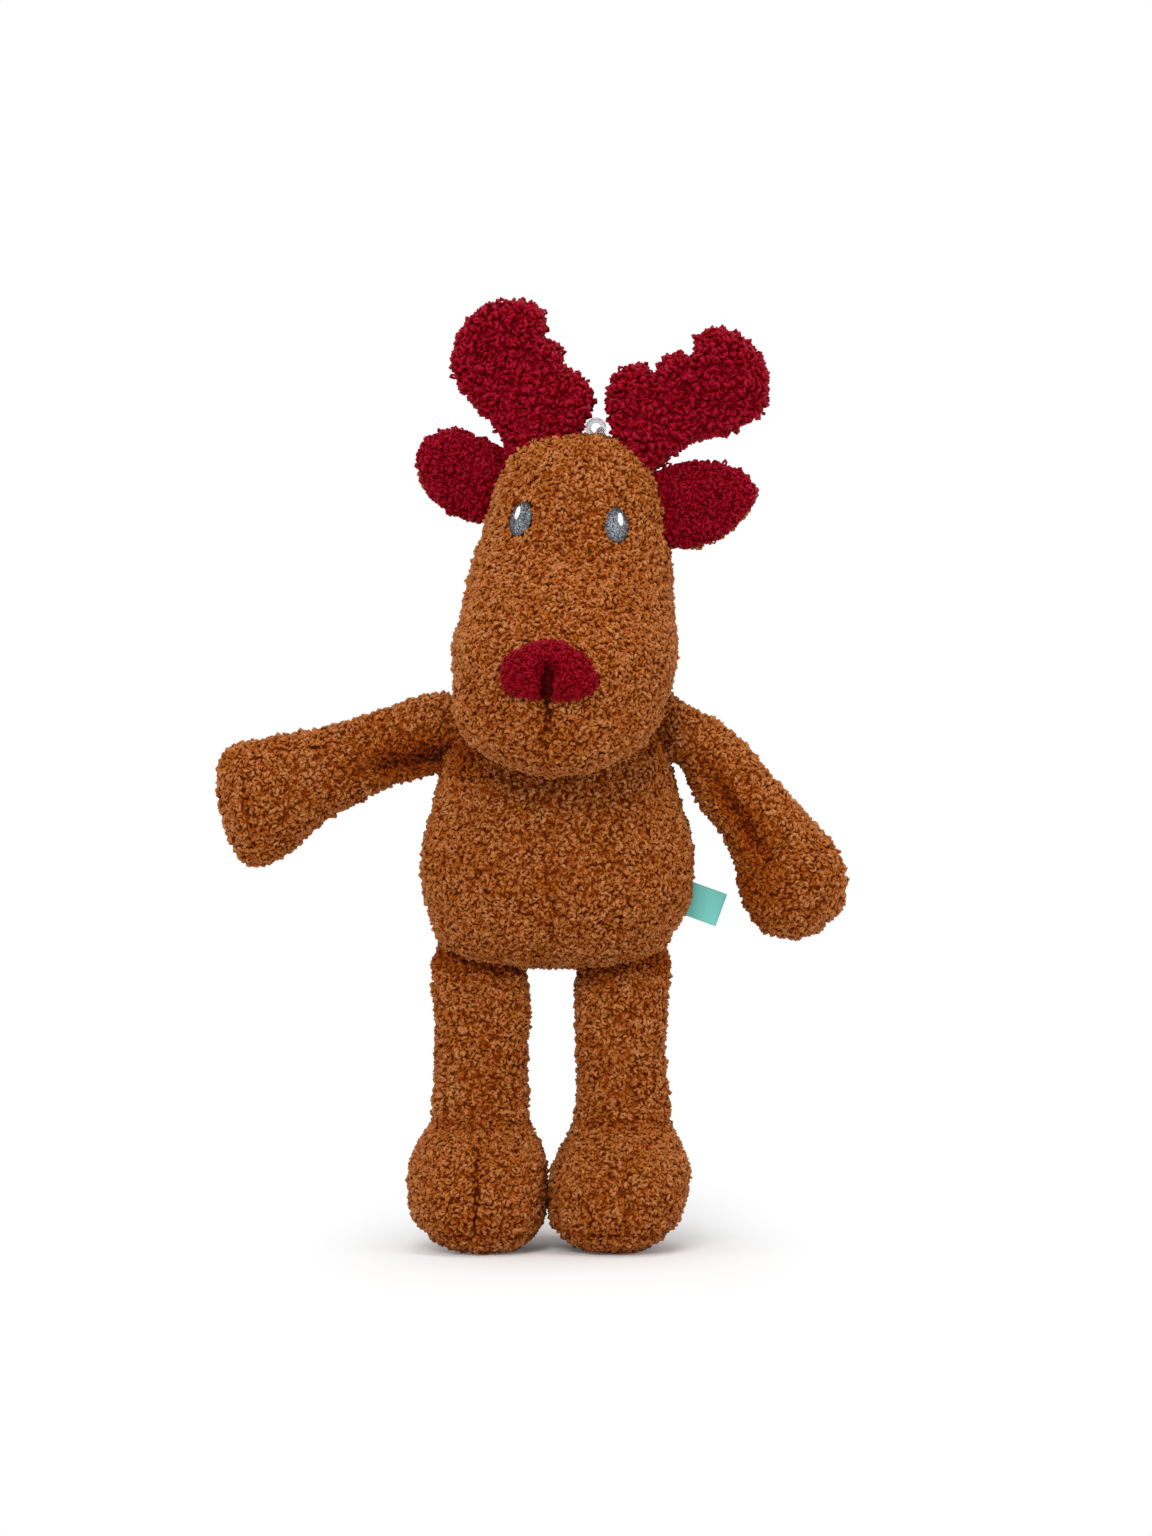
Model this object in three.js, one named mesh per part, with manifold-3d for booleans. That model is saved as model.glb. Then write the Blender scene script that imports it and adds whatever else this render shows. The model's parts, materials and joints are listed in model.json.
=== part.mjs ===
// Plush deer: a stuffed toy of curly pile fabric that stands on its two feet.
// Millimetres, +Z up. The face looks along -Y, so +X is the toy's own left side.

import * as THREE from 'three';
import { mergeVertices } from 'three/addons/utils/BufferGeometryUtils.js';
import Module from 'manifold-3d';

const wasm = await Module();
wasm.setup();
const { Manifold, Mesh: SolidMesh } = wasm;

// Fabric and sewing
const pileDepth = 4.2; // backing cloth and curls together
const seamGap = 0.35; // between two sewn panels
const restGap = 0.35; // between a piece and what it lies against
const overrun = 30; // how far a cutting block runs past what it cuts
const swingStep = 10; // degrees between the places where a neighbour is cleared

// Torso
const torsoHeight = 107;
const torsoWidth = 109.4;
const torsoDepth = 87;
const labelRise = 28.5; // of the ribbon's middle over the torso's lowest point
const labelLength = 14.8;
const labelWidth = 13.7;
const labelTilt = 20; // degrees, droops outward
const ribbonThickness = 0.5;
const ribbonFold = 0.7; // between the two layers of the folded ribbon

// Head, hung on the neck pivot at the top of the torso
const neckAside = 3.3; // toward the toy's left
const neckAhead = 3;
const headLength = 136.6;
const headWidth = 90;
const headDepth = 111;
const chinDrop = 30.2; // of the chin below the neck pivot
const headTurn = 5.4; // degrees toward the toy's right
const headLean = 3.7; // degrees toward the toy's left
const nodRange = { low: -12, high: 14 };
const gussetWidth = 46;
const browDrop = 46.4; // of the crease under the eyes, below the top of the head
const gussetBottom = 11; // where the gusset ends behind the nose, over the neck pivot
const napeDepth = 13; // how far behind the neck pivot the back panel starts

// Face
const noseWidth = 38.4;
const noseHeight = 26.6;
const noseThickness = 6.8;
const noseHem = 2; // thickness at the edge, where the cloth turns in
const nosePlace = 11; // of the nose's middle over the neck pivot
const noseCreaseWidth = 2.6;
const noseCreaseDepth = 3.4;
const eyeWidth = 9.2;
const eyeHeight = 14.2;
const eyeThickness = 1.4; // raised satin stitching
const eyeSpread = 39.2; // between the middles of the eyes
const eyeDrop = 35.8; // of the eyes below the top of the head
const eyeLean = 9; // degrees, tops toward each other
const glintAside = 1; // of each glint from its eye's middle, away from the nose
const glintWidth = 2.4;
const glintRise = 2.4; // over its eye's middle
const glintHeight = 5.2;
const glintThickness = 0.8;

// Ears, each two flat panels sewn back to back
const earLength = 43;
const earWidth = 34;
const earThickness = 11;
const earSpread = 61; // between the two sewn roots
const earDrop = 26.4; // of the roots below the top of the head
const earRoot = 5; // how far the root reaches in past the head's skin
const earRise = { right: 18, left: 9 }; // degrees over the horizontal
const earRange = { low: -20, high: 20 };

// Antlers, each two panels round a light filling
const antlerLength = 56;
const antlerDepth = 17;
const antlerEdge = 2.4; // radius of the edge, where the two panels meet
const antlerSpread = 42; // between the two sewn roots
const antlerDrop = 5.4; // of the roots below the top of the head
const antlerRange = { low: -10, high: 10 };

// Hang loop of clear plastic, on the crown
const loopWire = 2; // diameter
const loopGap = 5; // clear width inside
const loopHeight = 5; // of the straight legs, from the middle of the collar
const loopAside = 6; // toward the toy's left, in the seam at the back of the crown
const loopRise = 0.2; // of the collar's middle over the top of the head
const collarWidth = 8;
const collarHeight = 3;

// Arms: length from the shoulder to the tip of the hand
const armLength = 95;
const armWidth = 47; // across the hand
const foldedArmWidth = 42.6; // the left hand is turned, and looks narrower
const armDepth = 36;
const shoulderSpread = 92;
const shoulderDrop = 14.5; // below the top of the torso
const shoulderAhead = 2;
const armPose = { right: 20, left: 60 }; // degrees below the horizontal
const armRange = { right: { low: -36, high: 34 }, left: { low: -1.5, high: 66 } }; // up is positive

// Legs: length from the floor to the hip seam
const legLength = 116.4;
const footWidth = 55.2;
const footDepth = 64.6;
const hipSpread = 57.4;
const hipAside = -2.5; // the feet stand a little to the toy's right
const hipAhead = 2;
const ankleHeight = 51.5;
const soleSeamHeight = 7.8;
const hipSeat = 1.4; // how far the torso hangs down past the hip seams
const legRange = { low: -25, high: 75 }; // forward is positive

// Places that follow from the sizes: the torso's bottom and the neck over the floor,
// and the top of the head over the neck
const torsoBottom = legLength - hipSeat;
const torsoTop = torsoBottom + torsoHeight;
const neckPivot = new THREE.Vector3(neckAside, -neckAhead, torsoTop);
const crown = headLength - chinDrop;

// Slices of each stuffed bag, from one end to the other:
// along the length, and then as shares of the half width and half depth
// the slice's width, its depth, and how far its middle lies aside and ahead
const torsoShares = [
    [0, 0, 0, 0, 0],
    [0.014, 0.33, 0.28, 0, 0],
    [0.043, 0.58, 0.51, 0, 0],
    [0.085, 0.76, 0.7, 0, 0.01],
    [0.14, 0.885, 0.85, 0, 0.02],
    [0.2, 0.945, 0.93, 0, 0.03],
    [0.28, 0.985, 0.99, 0, 0.04],
    [0.39, 1, 1, 0, 0.04],
    [0.51, 0.96, 0.95, 0, 0.03],
    [0.63, 0.89, 0.85, 0, 0.02],
    [0.72, 0.85, 0.75, 0, 0.02],
    [0.81, 0.81, 0.66, 0, 0.03],
    [0.9, 0.71, 0.56, 0, 0.04],
    [0.955, 0.55, 0.42, 0, 0.05],
    [0.988, 0.33, 0.25, 0, 0.05],
    [1, 0, 0, 0, 0.05],
];
const headShares = [
    [0, 0, 0, 0, 0.84],
    [0.02, 0.32, 0.22, 0, 0.86],
    [0.055, 0.56, 0.34, 0, 0.86],
    [0.1, 0.76, 0.44, 0, 0.83],
    [0.163, 0.9, 0.54, 0, 0.77],
    [0.228, 0.945, 0.78, 0, 0.56],
    [0.294, 0.98, 0.92, 0, 0.43],
    [0.368, 1, 0.95, 0, 0.35],
    [0.441, 0.96, 0.92, 0, 0.26],
    [0.514, 0.91, 0.86, 0, 0.17],
    [0.58, 0.885, 0.78, 0, 0.09],
    [0.653, 0.85, 0.7, 0, 0.01],
    [0.719, 0.8, 0.65, 0, -0.03],
    [0.8, 0.76, 0.61, 0, -0.04],
    [0.877, 0.69, 0.54, 0, -0.05],
    [0.931, 0.6, 0.45, 0, -0.05],
    [0.975, 0.44, 0.31, 0, -0.05],
    [0.994, 0.24, 0.16, 0, -0.05],
    [1, 0, 0, 0, -0.05],
];
const rightArmShares = [
    [-0.06, 0.55, 0.5, -0.06, 0],
    [0.07, 0.7, 0.7, 0, 0],
    [0.22, 0.66, 0.72, 0.07, 0],
    [0.38, 0.68, 0.76, 0.07, 0],
    [0.5, 0.74, 0.82, 0.05, 0],
    [0.6, 0.84, 0.9, 0.02, 0],
    [0.7, 0.95, 0.97, -0.03, 0],
    [0.78, 1, 1, -0.04, 0],
    [0.86, 0.97, 0.95, -0.02, 0],
    [0.93, 0.85, 0.8, 0.03, 0],
    [0.975, 0.6, 0.52, 0.06, 0],
    [0.995, 0.3, 0.25, 0.07, 0],
    [1, 0, 0, 0.07, 0],
];
const leftArmShares = [
    [-0.06, 0.5, 0.5, 0.05, 0],
    [0.05, 0.64, 0.68, 0.24, 0],
    [0.15, 0.635, 0.72, 0.42, 0],
    [0.23, 0.64, 0.75, 0.49, 0],
    [0.34, 0.68, 0.8, 0.54, 0],
    [0.46, 0.73, 0.88, 0.62, 0],
    [0.55, 0.8, 0.95, 0.64, 0],
    [0.64, 0.88, 1, 0.62, 0],
    [0.74, 1, 1, 0.55, 0],
    [0.845, 0.95, 0.95, 0.48, 0],
    [0.925, 0.7, 0.75, 0.45, 0],
    [0.975, 0.38, 0.4, 0.43, 0],
    [1, 0, 0, 0.42, 0],
];
const legShares = [
    [0, 0.62, 0.72, 0.03, 0.25],
    [0.02, 0.77, 0.85, 0.03, 0.25],
    [0.065, 0.9, 0.95, 0.03, 0.25],
    [0.15, 0.99, 1, 0.03, 0.25],
    [0.24, 1, 0.98, 0.03, 0.23],
    [0.31, 0.97, 0.9, 0.03, 0.2],
    [0.365, 0.9, 0.77, 0.03, 0.14],
    [0.41, 0.81, 0.64, 0.02, 0.07],
    [0.45, 0.72, 0.56, 0.01, 0.02],
    [0.53, 0.69, 0.53, 0, 0],
    [0.65, 0.67, 0.53, 0, 0],
    [0.77, 0.68, 0.48, 0, 0],
    [0.87, 0.67, 0.34, 0, 0],
    [0.94, 0.65, 0.18, 0, 0],
    [1, 0.64, 0.07, 0, 0],
    [1.09, 0.62, 0.06, 0, 0],
];
const earShares = [
    [-0.02, 0.6, 0.22, 0, 0],
    [0.1, 0.76, 0.62, 0, 0],
    [0.28, 0.93, 0.92, 0, 0],
    [0.46, 1, 1, 0.02, 0],
    [0.64, 0.93, 0.95, 0.04, 0],
    [0.8, 0.74, 0.8, 0.06, 0],
    [0.92, 0.47, 0.55, 0.08, 0],
    [0.98, 0.22, 0.28, 0.1, 0],
    [1, 0, 0, 0.1, 0],
];

// Where along each bag its hollow starts and ends
const torsoHollowShares = [0.04, 0.96];
const headHollowShares = [0.045, 0.965];
const armHollowShares = [0.16, 0.955];
const legHollowShares = [0.045, 0.9];

// Outline of each antler round its root, as shares of its length: aside toward the toy's left, and up
const rightAntlerOutlineShares = [
    [-0.05, -0.13],
    [-0.22, 0.08],
    [-0.37, 0.23],
    [-0.52, 0.37],
    [-0.59, 0.56],
    [-0.55, 0.77],
    [-0.4, 0.94],
    [-0.12, 1.02],
    [0.02, 0.97],
    [0.04, 0.85],
    [0.01, 0.76],
    [0.14, 0.69],
    [0.22, 0.58],
    [0.38, 0.47],
    [0.42, 0.34],
    [0.36, 0.18],
    [0.2, 0],
];
const leftAntlerOutlineShares = [
    [-0.1, 0.02],
    [-0.2, 0.22],
    [-0.21, 0.42],
    [-0.12, 0.58],
    [0.03, 0.62],
    [0.12, 0.52],
    [0.17, 0.63],
    [0.27, 0.72],
    [0.38, 0.7],
    [0.41, 0.84],
    [0.57, 0.9],
    [0.8, 0.79],
    [0.92, 0.59],
    [0.88, 0.36],
    [0.66, 0.22],
    [0.4, 0.08],
    [0.22, -0.04],
    [0.04, -0.1],
];
const rightAntlerMiddleShares = [-0.13, 0.48]; // of the palm's fullest point
const leftAntlerMiddleShares = [0.36, 0.38];
const antlerHollowShare = 0.72; // of the outline, drawn in toward the fullest point
const antlerCrownShare = 0.78; // half the crown that rounds the palm off

// Outline of the nose, as shares of its width and height, seen from the front and run leftward
const noseOutlineShares = [
    [0.5, -0.06],
    [0.36, 0.3],
    [0.12, 0.5],
    [-0.12, 0.49],
    [-0.36, 0.33],
    [-0.5, 0.02],
    [-0.42, -0.34],
    [-0.16, -0.5],
    [0.16, -0.49],
    [0.42, -0.36],
];
const noseRingShares = [1, 0.93, 0.78, 0.54, 0.25]; // of the outline, from the hem to the middle
const noseCreaseShare = 0.52; // of the nose's height, from its lower edge

// Facets
const torsoFacets = { rings: 15, sides: 20 };
const headFacets = { rings: 19, sides: 22 };
const armFacets = { rings: 12, sides: 12 };
const legFacets = { rings: 15, sides: 14 };
const earFacets = { rings: 8, sides: 12 };
const hollowFacets = { rings: 8, sides: 10 };
const limbHollowFacets = { rings: 7, sides: 7 };
const antlerFacets = { outline: 34, edge: 2, sides: 16, rings: 8 };
const antlerHollowFacets = { outline: 16, edge: 1, sides: 10, rings: 6 };
const noseFacets = { outline: 20 };
const ovalFacets = 8; // steps round half of an embroidered oval
const wireFacets = { steps: 14, sides: 8, bend: 8 };
const collarFacets = { sides: 10, rings: 6 };
const sliceRoundness = 2.2; // 2 is an ellipse, more is boxier
const capRings = 3; // rings over which the end of a hollow closes
const halvings = 24; // to find a height on a bag

const xAxis = new THREE.Vector3(1, 0, 0);
const zAxis = new THREE.Vector3(0, 0, 1);
const radians = THREE.MathUtils.degToRad;

// Materials, one for each piece
function brownPile() {
    return new THREE.MeshStandardMaterial({ color: 0x8a4b20, roughness: 1, metalness: 0 });
}

function winePile() {
    return new THREE.MeshStandardMaterial({ color: 0x780b18, roughness: 1, metalness: 0 });
}

function whiteFibre() {
    return new THREE.MeshStandardMaterial({ color: 0xf0efeb, roughness: 1, metalness: 0 });
}

function greyThread() {
    return new THREE.MeshStandardMaterial({ color: 0x7c8087, roughness: 0.6, metalness: 0 });
}

function whiteThread() {
    return new THREE.MeshStandardMaterial({ color: 0xf4f4f2, roughness: 0.6, metalness: 0 });
}

function mintRibbon() {
    return new THREE.MeshStandardMaterial({ color: 0x86c4bf, roughness: 0.7, metalness: 0 });
}

function clearPlastic() {
    const look = { color: 0xeef0f2, roughness: 0.15, metalness: 0, transparent: true, opacity: 0.5 };
    return new THREE.MeshStandardMaterial(look);
}

// Solids and meshes
function solidOf(geometry, place = new THREE.Matrix4()) {
    let shape = geometry.clone().applyMatrix4(place);
    shape.deleteAttribute('normal');
    shape.deleteAttribute('uv');
    shape = mergeVertices(shape);
    const vertProperties = new Float32Array(shape.attributes.position.array);
    const triVerts = new Uint32Array(shape.index.array);
    return new Manifold(new SolidMesh({ numProp: 3, vertProperties, triVerts }));
}

function geometryOf(solid) {
    const { vertProperties, triVerts } = solid.getMesh();
    const geometry = new THREE.BufferGeometry();
    geometry.setAttribute('position', new THREE.BufferAttribute(vertProperties, 3));
    geometry.setIndex(new THREE.BufferAttribute(triVerts, 1));
    geometry.computeVertexNormals();
    return geometry;
}

// The main body of a cut solid, without the crumbs that a grazing cut leaves
function mainBody(solid) {
    const bodies = solid.decompose();
    return bodies.reduce((largest, body) => (body.volume() > largest.volume() ? body : largest));
}

function addPiece(group, name, solid, material) {
    const mesh = new THREE.Mesh(geometryOf(mainBody(solid)), material);
    mesh.name = name;
    group.add(mesh);
}

function block(low, high) {
    const size = high.clone().sub(low);
    const geometry = new THREE.BoxGeometry(size.x, size.y, size.z);
    const middle = low.clone().add(high).divideScalar(2);
    return solidOf(geometry, new THREE.Matrix4().setPosition(middle));
}

// The two halves of a solid on either side of a seam across one of its axes
function parted(solid, axis, seam) {
    const { min, max } = solid.boundingBox();
    const low = new THREE.Vector3(...min).subScalar(overrun);
    const high = new THREE.Vector3(...max).addScalar(overrun);
    const lowEnd = high.clone().setComponent(axis, seam - seamGap / 2);
    const highStart = low.clone().setComponent(axis, seam + seamGap / 2);
    return [solid.intersect(block(low, lowEnd)), solid.intersect(block(highStart, high))];
}

// A smooth closed outline through shares of a width and a height
function closedOutline(shares, width, height, steps) {
    const points = shares.map(([x, y]) => new THREE.Vector3(x * width, y * height, 0));
    return new THREE.CatmullRomCurve3(points, true).getPoints(steps).slice(1);
}

// A closed skin over a stack of rings, with a middle point closing each end
function stackGeometry(rings, start, end) {
    const sides = rings[0].length;
    const points = [...rings.flat(), start, end];
    const startPoint = rings.length * sides;
    const endPoint = startPoint + 1;
    const lastRing = (rings.length - 1) * sides;
    const index = [];
    for (let side = 0; side < sides; side++) {
        const next = (side + 1) % sides;
        for (let ring = 0; ring < lastRing; ring += sides) {
            index.push(ring + side, ring + next, ring + sides + next);
            index.push(ring + side, ring + sides + next, ring + sides + side);
        }
        index.push(startPoint, next, side);
        index.push(endPoint, lastRing + side, lastRing + next);
    }
    const geometry = new THREE.BufferGeometry().setFromPoints(points);
    geometry.setIndex(index);
    return geometry;
}

// A stuffed bag: rounded slices along Z whose widths, depths and middles follow smooth curves
class Bag {
    constructor(length, width, depth, shares, facets, mirror = 1) {
        this.facets = facets;
        this.sizes = new THREE.CatmullRomCurve3(
            shares.map(([along, wide, deep]) => new THREE.Vector3(wide * width, deep * depth, 0).divideScalar(2))
        );
        this.middles = new THREE.CatmullRomCurve3(
            shares.map(([along, , , aside, ahead]) =>
                new THREE.Vector3(mirror * aside * width / 2, -ahead * depth / 2, along * length))
        );
    }

    // The share of the bag's run at which its middle line passes a height
    shareAt(height) {
        let [low, high] = [0, 1];
        for (let halving = 0; halving < halvings; halving++) {
            const share = (low + high) / 2;
            [low, high] = this.middles.getPoint(share).z < height ? [share, high] : [low, share];
        }
        return low;
    }

    // Where the skin lies at a height: on the left side, and on the front
    side(height) {
        return this.sizes.getPoint(this.shareAt(height)).x;
    }

    front(x, height) {
        const share = this.shareAt(height);
        const size = this.sizes.getPoint(share);
        const middle = this.middles.getPoint(share);
        const wide = Math.min(1, Math.abs(x - middle.x) / size.x);
        return middle.y - size.y * (1 - wide ** sliceRoundness) ** (1 / sliceRoundness);
    }

    ring(share, sides, inset, rounding) {
        const size = this.sizes.getPoint(share);
        const middle = this.middles.getPoint(share);
        const points = [];
        for (let side = 0; side < sides; side++) {
            const angle = 2 * Math.PI * side / sides;
            const x = Math.sign(Math.cos(angle)) * Math.abs(Math.cos(angle)) ** (2 / sliceRoundness);
            const y = Math.sign(Math.sin(angle)) * Math.abs(Math.sin(angle)) ** (2 / sliceRoundness);
            const point = new THREE.Vector3((size.x - inset) * x, (size.y - inset) * y, 0);
            points.push(point.multiplyScalar(rounding).add(middle));
        }
        return points;
    }

    // The whole bag, grown on every side by a gap
    outer(grown = 0) {
        const rings = [];
        for (let ring = 0; ring <= this.facets.rings; ring++) {
            const share = ring / this.facets.rings;
            if (this.sizes.getPoint(share).x > grown) {
                rings.push(this.ring(share, this.facets.sides, -grown, 1));
            }
        }
        const start = this.middles.getPoint(0).sub(new THREE.Vector3(0, 0, grown));
        const end = this.middles.getPoint(1).add(new THREE.Vector3(0, 0, grown));
        return stackGeometry(rings, start, end);
    }

    // A space inside the bag between two shares of its length, its ends closing round
    // and drawn in on every side by a gap
    inner([from, to], facets, gap = 0) {
        const rings = [];
        for (let ring = 1; ring < facets.rings; ring++) {
            const closing = Math.min(1, Math.min(ring, facets.rings - ring) / capRings);
            const rounding = Math.sqrt(1 - (1 - closing) ** 2);
            const inward = Math.sign(facets.rings / 2 - ring) * Math.sqrt(1 - rounding ** 2);
            const share = from + (to - from) * ring / facets.rings;
            const points = this.ring(share, facets.sides, pileDepth + gap, rounding);
            rings.push(points.map((point) => point.addScaledVector(zAxis, inward * gap)));
        }
        const start = this.middles.getPoint(from).addScaledVector(zAxis, gap);
        const end = this.middles.getPoint(to).addScaledVector(zAxis, -gap);
        return stackGeometry(rings, start, end);
    }

    // The hollow shell of pile fabric, and the filling that lies inside it
    parts(hollowShares, facets, place) {
        const hollow = solidOf(this.inner(hollowShares, facets), place);
        const filling = solidOf(this.inner(hollowShares, facets, restGap), place);
        return { shell: solidOf(this.outer(), place).subtract(hollow), filling };
    }
}

// Everything that a neighbour sweeps in a piece's own frame while the piece swings on its joint
function sweptSpace(neighbour, place, axis, range) {
    const steps = Math.ceil((range.high - range.low) / swingStep);
    let space = null;
    for (let step = 0; step <= steps; step++) {
        const angle = radians(range.low + (range.high - range.low) * step / steps);
        const turned = new THREE.Matrix4().makeRotationAxis(axis, -angle).multiply(place);
        const solid = solidOf(neighbour, turned);
        space = space ? space.add(solid) : solid;
    }
    return space;
}

// Where a neighbour lies in the frame of a group
function placeIn(group, neighbour) {
    return group.matrixWorld.clone().invert().multiply(neighbour.matrixWorld);
}

function frameAt(parent, position, rotation = new THREE.Euler()) {
    const group = new THREE.Group();
    group.position.copy(position);
    group.rotation.copy(rotation);
    parent.add(group);
    group.updateWorldMatrix(true, false);
    return group;
}

const deer = new THREE.Group();
deer.name = 'plush_deer';

// Frames of the torso and of the head, which turns and leans on the neck
const torsoFrame = frameAt(deer, new THREE.Vector3(0, 0, torsoBottom));
const headTilt = new THREE.Euler(0, radians(headLean), radians(-headTurn), 'YZX');
const headFrame = frameAt(deer, neckPivot, headTilt);
const headBase = new THREE.Vector3(0, 0, -chinDrop);

const torsoBag = new Bag(torsoHeight, torsoWidth, torsoDepth, torsoShares, torsoFacets);
const headBag = new Bag(headLength, headWidth, headDepth, headShares, headFacets);
const torsoSpace = torsoBag.outer(restGap);
const headSpace = headBag.outer(restGap).translate(...headBase);

// Torso: two front and two back panels round the filling
function makeTorso() {
    const { shell, filling } = torsoBag.parts(torsoHollowShares, hollowFacets);
    const [front, back] = parted(shell, 1, 0);
    const [frontRight, frontLeft] = parted(front, 0, 0);
    const [backRight, backLeft] = parted(back, 0, 0);
    addPiece(torsoFrame, 'torso_front_right_panel', frontRight, brownPile());
    addPiece(torsoFrame, 'torso_front_left_panel', frontLeft, brownPile());
    addPiece(torsoFrame, 'torso_back_right_panel', backRight, brownPile());
    addPiece(torsoFrame, 'torso_back_left_panel', backLeft, brownPile());
    addPiece(torsoFrame, 'torso_filling', filling, whiteFibre());
}

// Side label: a ribbon folded back on itself, its two ends caught in the left side seam
function makeLabel() {
    const droop = new THREE.Euler(0, radians(labelTilt), 0);
    const half = ribbonThickness + ribbonFold / 2;
    const outside = torsoBag.side(labelRise) + restGap + half;
    const frame = frameAt(torsoFrame, new THREE.Vector3(outside, 0, labelRise), droop);
    const ribbon = new THREE.Shape();
    ribbon.moveTo(0, -half);
    ribbon.lineTo(labelLength - half, -half);
    ribbon.absarc(labelLength - half, 0, half, -Math.PI / 2, Math.PI / 2);
    ribbon.lineTo(0, half);
    ribbon.lineTo(0, ribbonFold / 2);
    ribbon.lineTo(labelLength - half, ribbonFold / 2);
    ribbon.absarc(labelLength - half, 0, ribbonFold / 2, Math.PI / 2, -Math.PI / 2, true);
    ribbon.lineTo(0, -ribbonFold / 2);
    const options = { depth: labelWidth, bevelEnabled: false, curveSegments: 6 };
    const geometry = new THREE.ExtrudeGeometry(ribbon, options).translate(0, 0, -labelWidth / 2);
    addPiece(frame, 'side_label', solidOf(geometry), mintRibbon());
}

// Head: two cheek panels that meet under the chin, and a gusset in three lengths over the top
function makeHead() {
    const lift = new THREE.Matrix4().setPosition(headBase);
    const { shell, filling } = headBag.parts(headHollowShares, hollowFacets, lift);
    const room = sweptSpace(torsoSpace, placeIn(headFrame, torsoFrame), xAxis, nodRange);
    const top = headLength + overrun;
    const reach = headDepth + overrun;
    const half = gussetWidth / 2;
    const gussetBlock = (grown, bottom) => {
        const low = new THREE.Vector3(-half - grown, -reach, bottom - grown);
        return block(low, new THREE.Vector3(half + grown, reach, top));
    };
    const sides = shell.subtract(gussetBlock(seamGap / 2, gussetBottom)).subtract(room);
    const [rightSide, leftSide] = parted(sides, 0, 0);
    const gusset = shell.intersect(gussetBlock(-seamGap / 2, gussetBottom)).subtract(room);
    const [frontGusset, back] = parted(gusset, 1, napeDepth);
    const [muzzle, forehead] = parted(frontGusset, 2, crown - browDrop);
    addPiece(headFrame, 'head_right_side_panel', rightSide, brownPile());
    addPiece(headFrame, 'head_left_side_panel', leftSide, brownPile());
    addPiece(headFrame, 'muzzle_top_panel', muzzle, brownPile());
    addPiece(headFrame, 'forehead_panel', forehead, brownPile());
    addPiece(headFrame, 'head_back_panel', back, brownPile());
    addPiece(headFrame, 'head_filling', filling.subtract(room), whiteFibre());
}

// Face: the padded nose, and two embroidered eyes with a white glint each
function headGrown(grown) {
    return solidOf(headBag.outer(grown), new THREE.Matrix4().setPosition(headBase));
}

// A flat outline in X and Z, run forward from the middle of the head past its skin
function facePrism(shape, x, z, lean) {
    const options = { depth: headDepth, bevelEnabled: false, curveSegments: ovalFacets };
    const place = new THREE.Matrix4().makeTranslation(x, 0, z);
    place.multiply(new THREE.Matrix4().makeRotationY(radians(lean)));
    place.multiply(new THREE.Matrix4().makeRotationX(Math.PI / 2));
    return solidOf(new THREE.ExtrudeGeometry(shape, options), place);
}

function ovalShape(width, height) {
    const oval = new THREE.Shape();
    oval.absellipse(0, 0, width / 2, height / 2, 0, 2 * Math.PI);
    return oval;
}

// The nose: a cushion on the front of the head, full in the middle and thin at its hem
function noseSolid() {
    const outline = closedOutline(noseOutlineShares, noseWidth, noseHeight, noseFacets.outline);
    const pointAt = (x, z, lift) => {
        const skin = headBag.front(x, nosePlace + chinDrop + z);
        return new THREE.Vector3(x, skin - lift, nosePlace + z);
    };
    const ringAt = (share, lift) => outline.map((point) => pointAt(share * point.x, share * point.y, lift));
    const fullness = (share) => noseHem + (noseThickness - noseHem) * Math.sqrt(1 - share ** 2);
    const rings = [ringAt(1, -noseHem), ...noseRingShares.map((share) => ringAt(share, fullness(share)))];
    return solidOf(stackGeometry(rings, pointAt(0, 0, -noseHem), pointAt(0, 0, noseThickness)));
}

// The stitched crease up the middle of the nose: a wedge that narrows toward the head
function noseCrease() {
    const front = headBag.front(0, nosePlace + chinDrop) - noseThickness;
    const slope = noseCreaseWidth / noseCreaseDepth / 2;
    const wedge = new THREE.Shape();
    wedge.moveTo(0, front + noseCreaseDepth);
    wedge.lineTo(-slope * (noseCreaseDepth + overrun), front - overrun);
    wedge.lineTo(slope * (noseCreaseDepth + overrun), front - overrun);
    const geometry = new THREE.ExtrudeGeometry(wedge, { depth: noseHeight, bevelEnabled: false });
    return solidOf(geometry.translate(0, 0, nosePlace + (noseCreaseShare - 3 / 2) * noseHeight));
}

function makeFace() {
    const skin = headGrown(restGap);
    addPiece(headFrame, 'nose_patch', noseSolid().subtract(skin).subtract(noseCrease()), winePile());
    const eyeTop = headGrown(restGap + eyeThickness);
    const glintFoot = headGrown(2 * restGap + eyeThickness);
    const glintTop = headGrown(2 * restGap + eyeThickness + glintThickness);
    const eyePlace = crown - eyeDrop;
    for (const [side, sign] of [['right', -1], ['left', 1]]) {
        const x = sign * eyeSpread / 2;
        const eye = facePrism(ovalShape(eyeWidth, eyeHeight), x, eyePlace, -sign * eyeLean);
        addPiece(headFrame, `${side}_eye`, eye.intersect(eyeTop).subtract(skin), greyThread());
        const glintShape = ovalShape(glintWidth, glintHeight);
        const glint = facePrism(glintShape, x + sign * glintAside, eyePlace + glintRise, -sign * eyeLean);
        addPiece(headFrame, `${side}_eye_glint`, glint.intersect(glintTop).subtract(glintFoot), whiteThread());
    }
}

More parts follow.
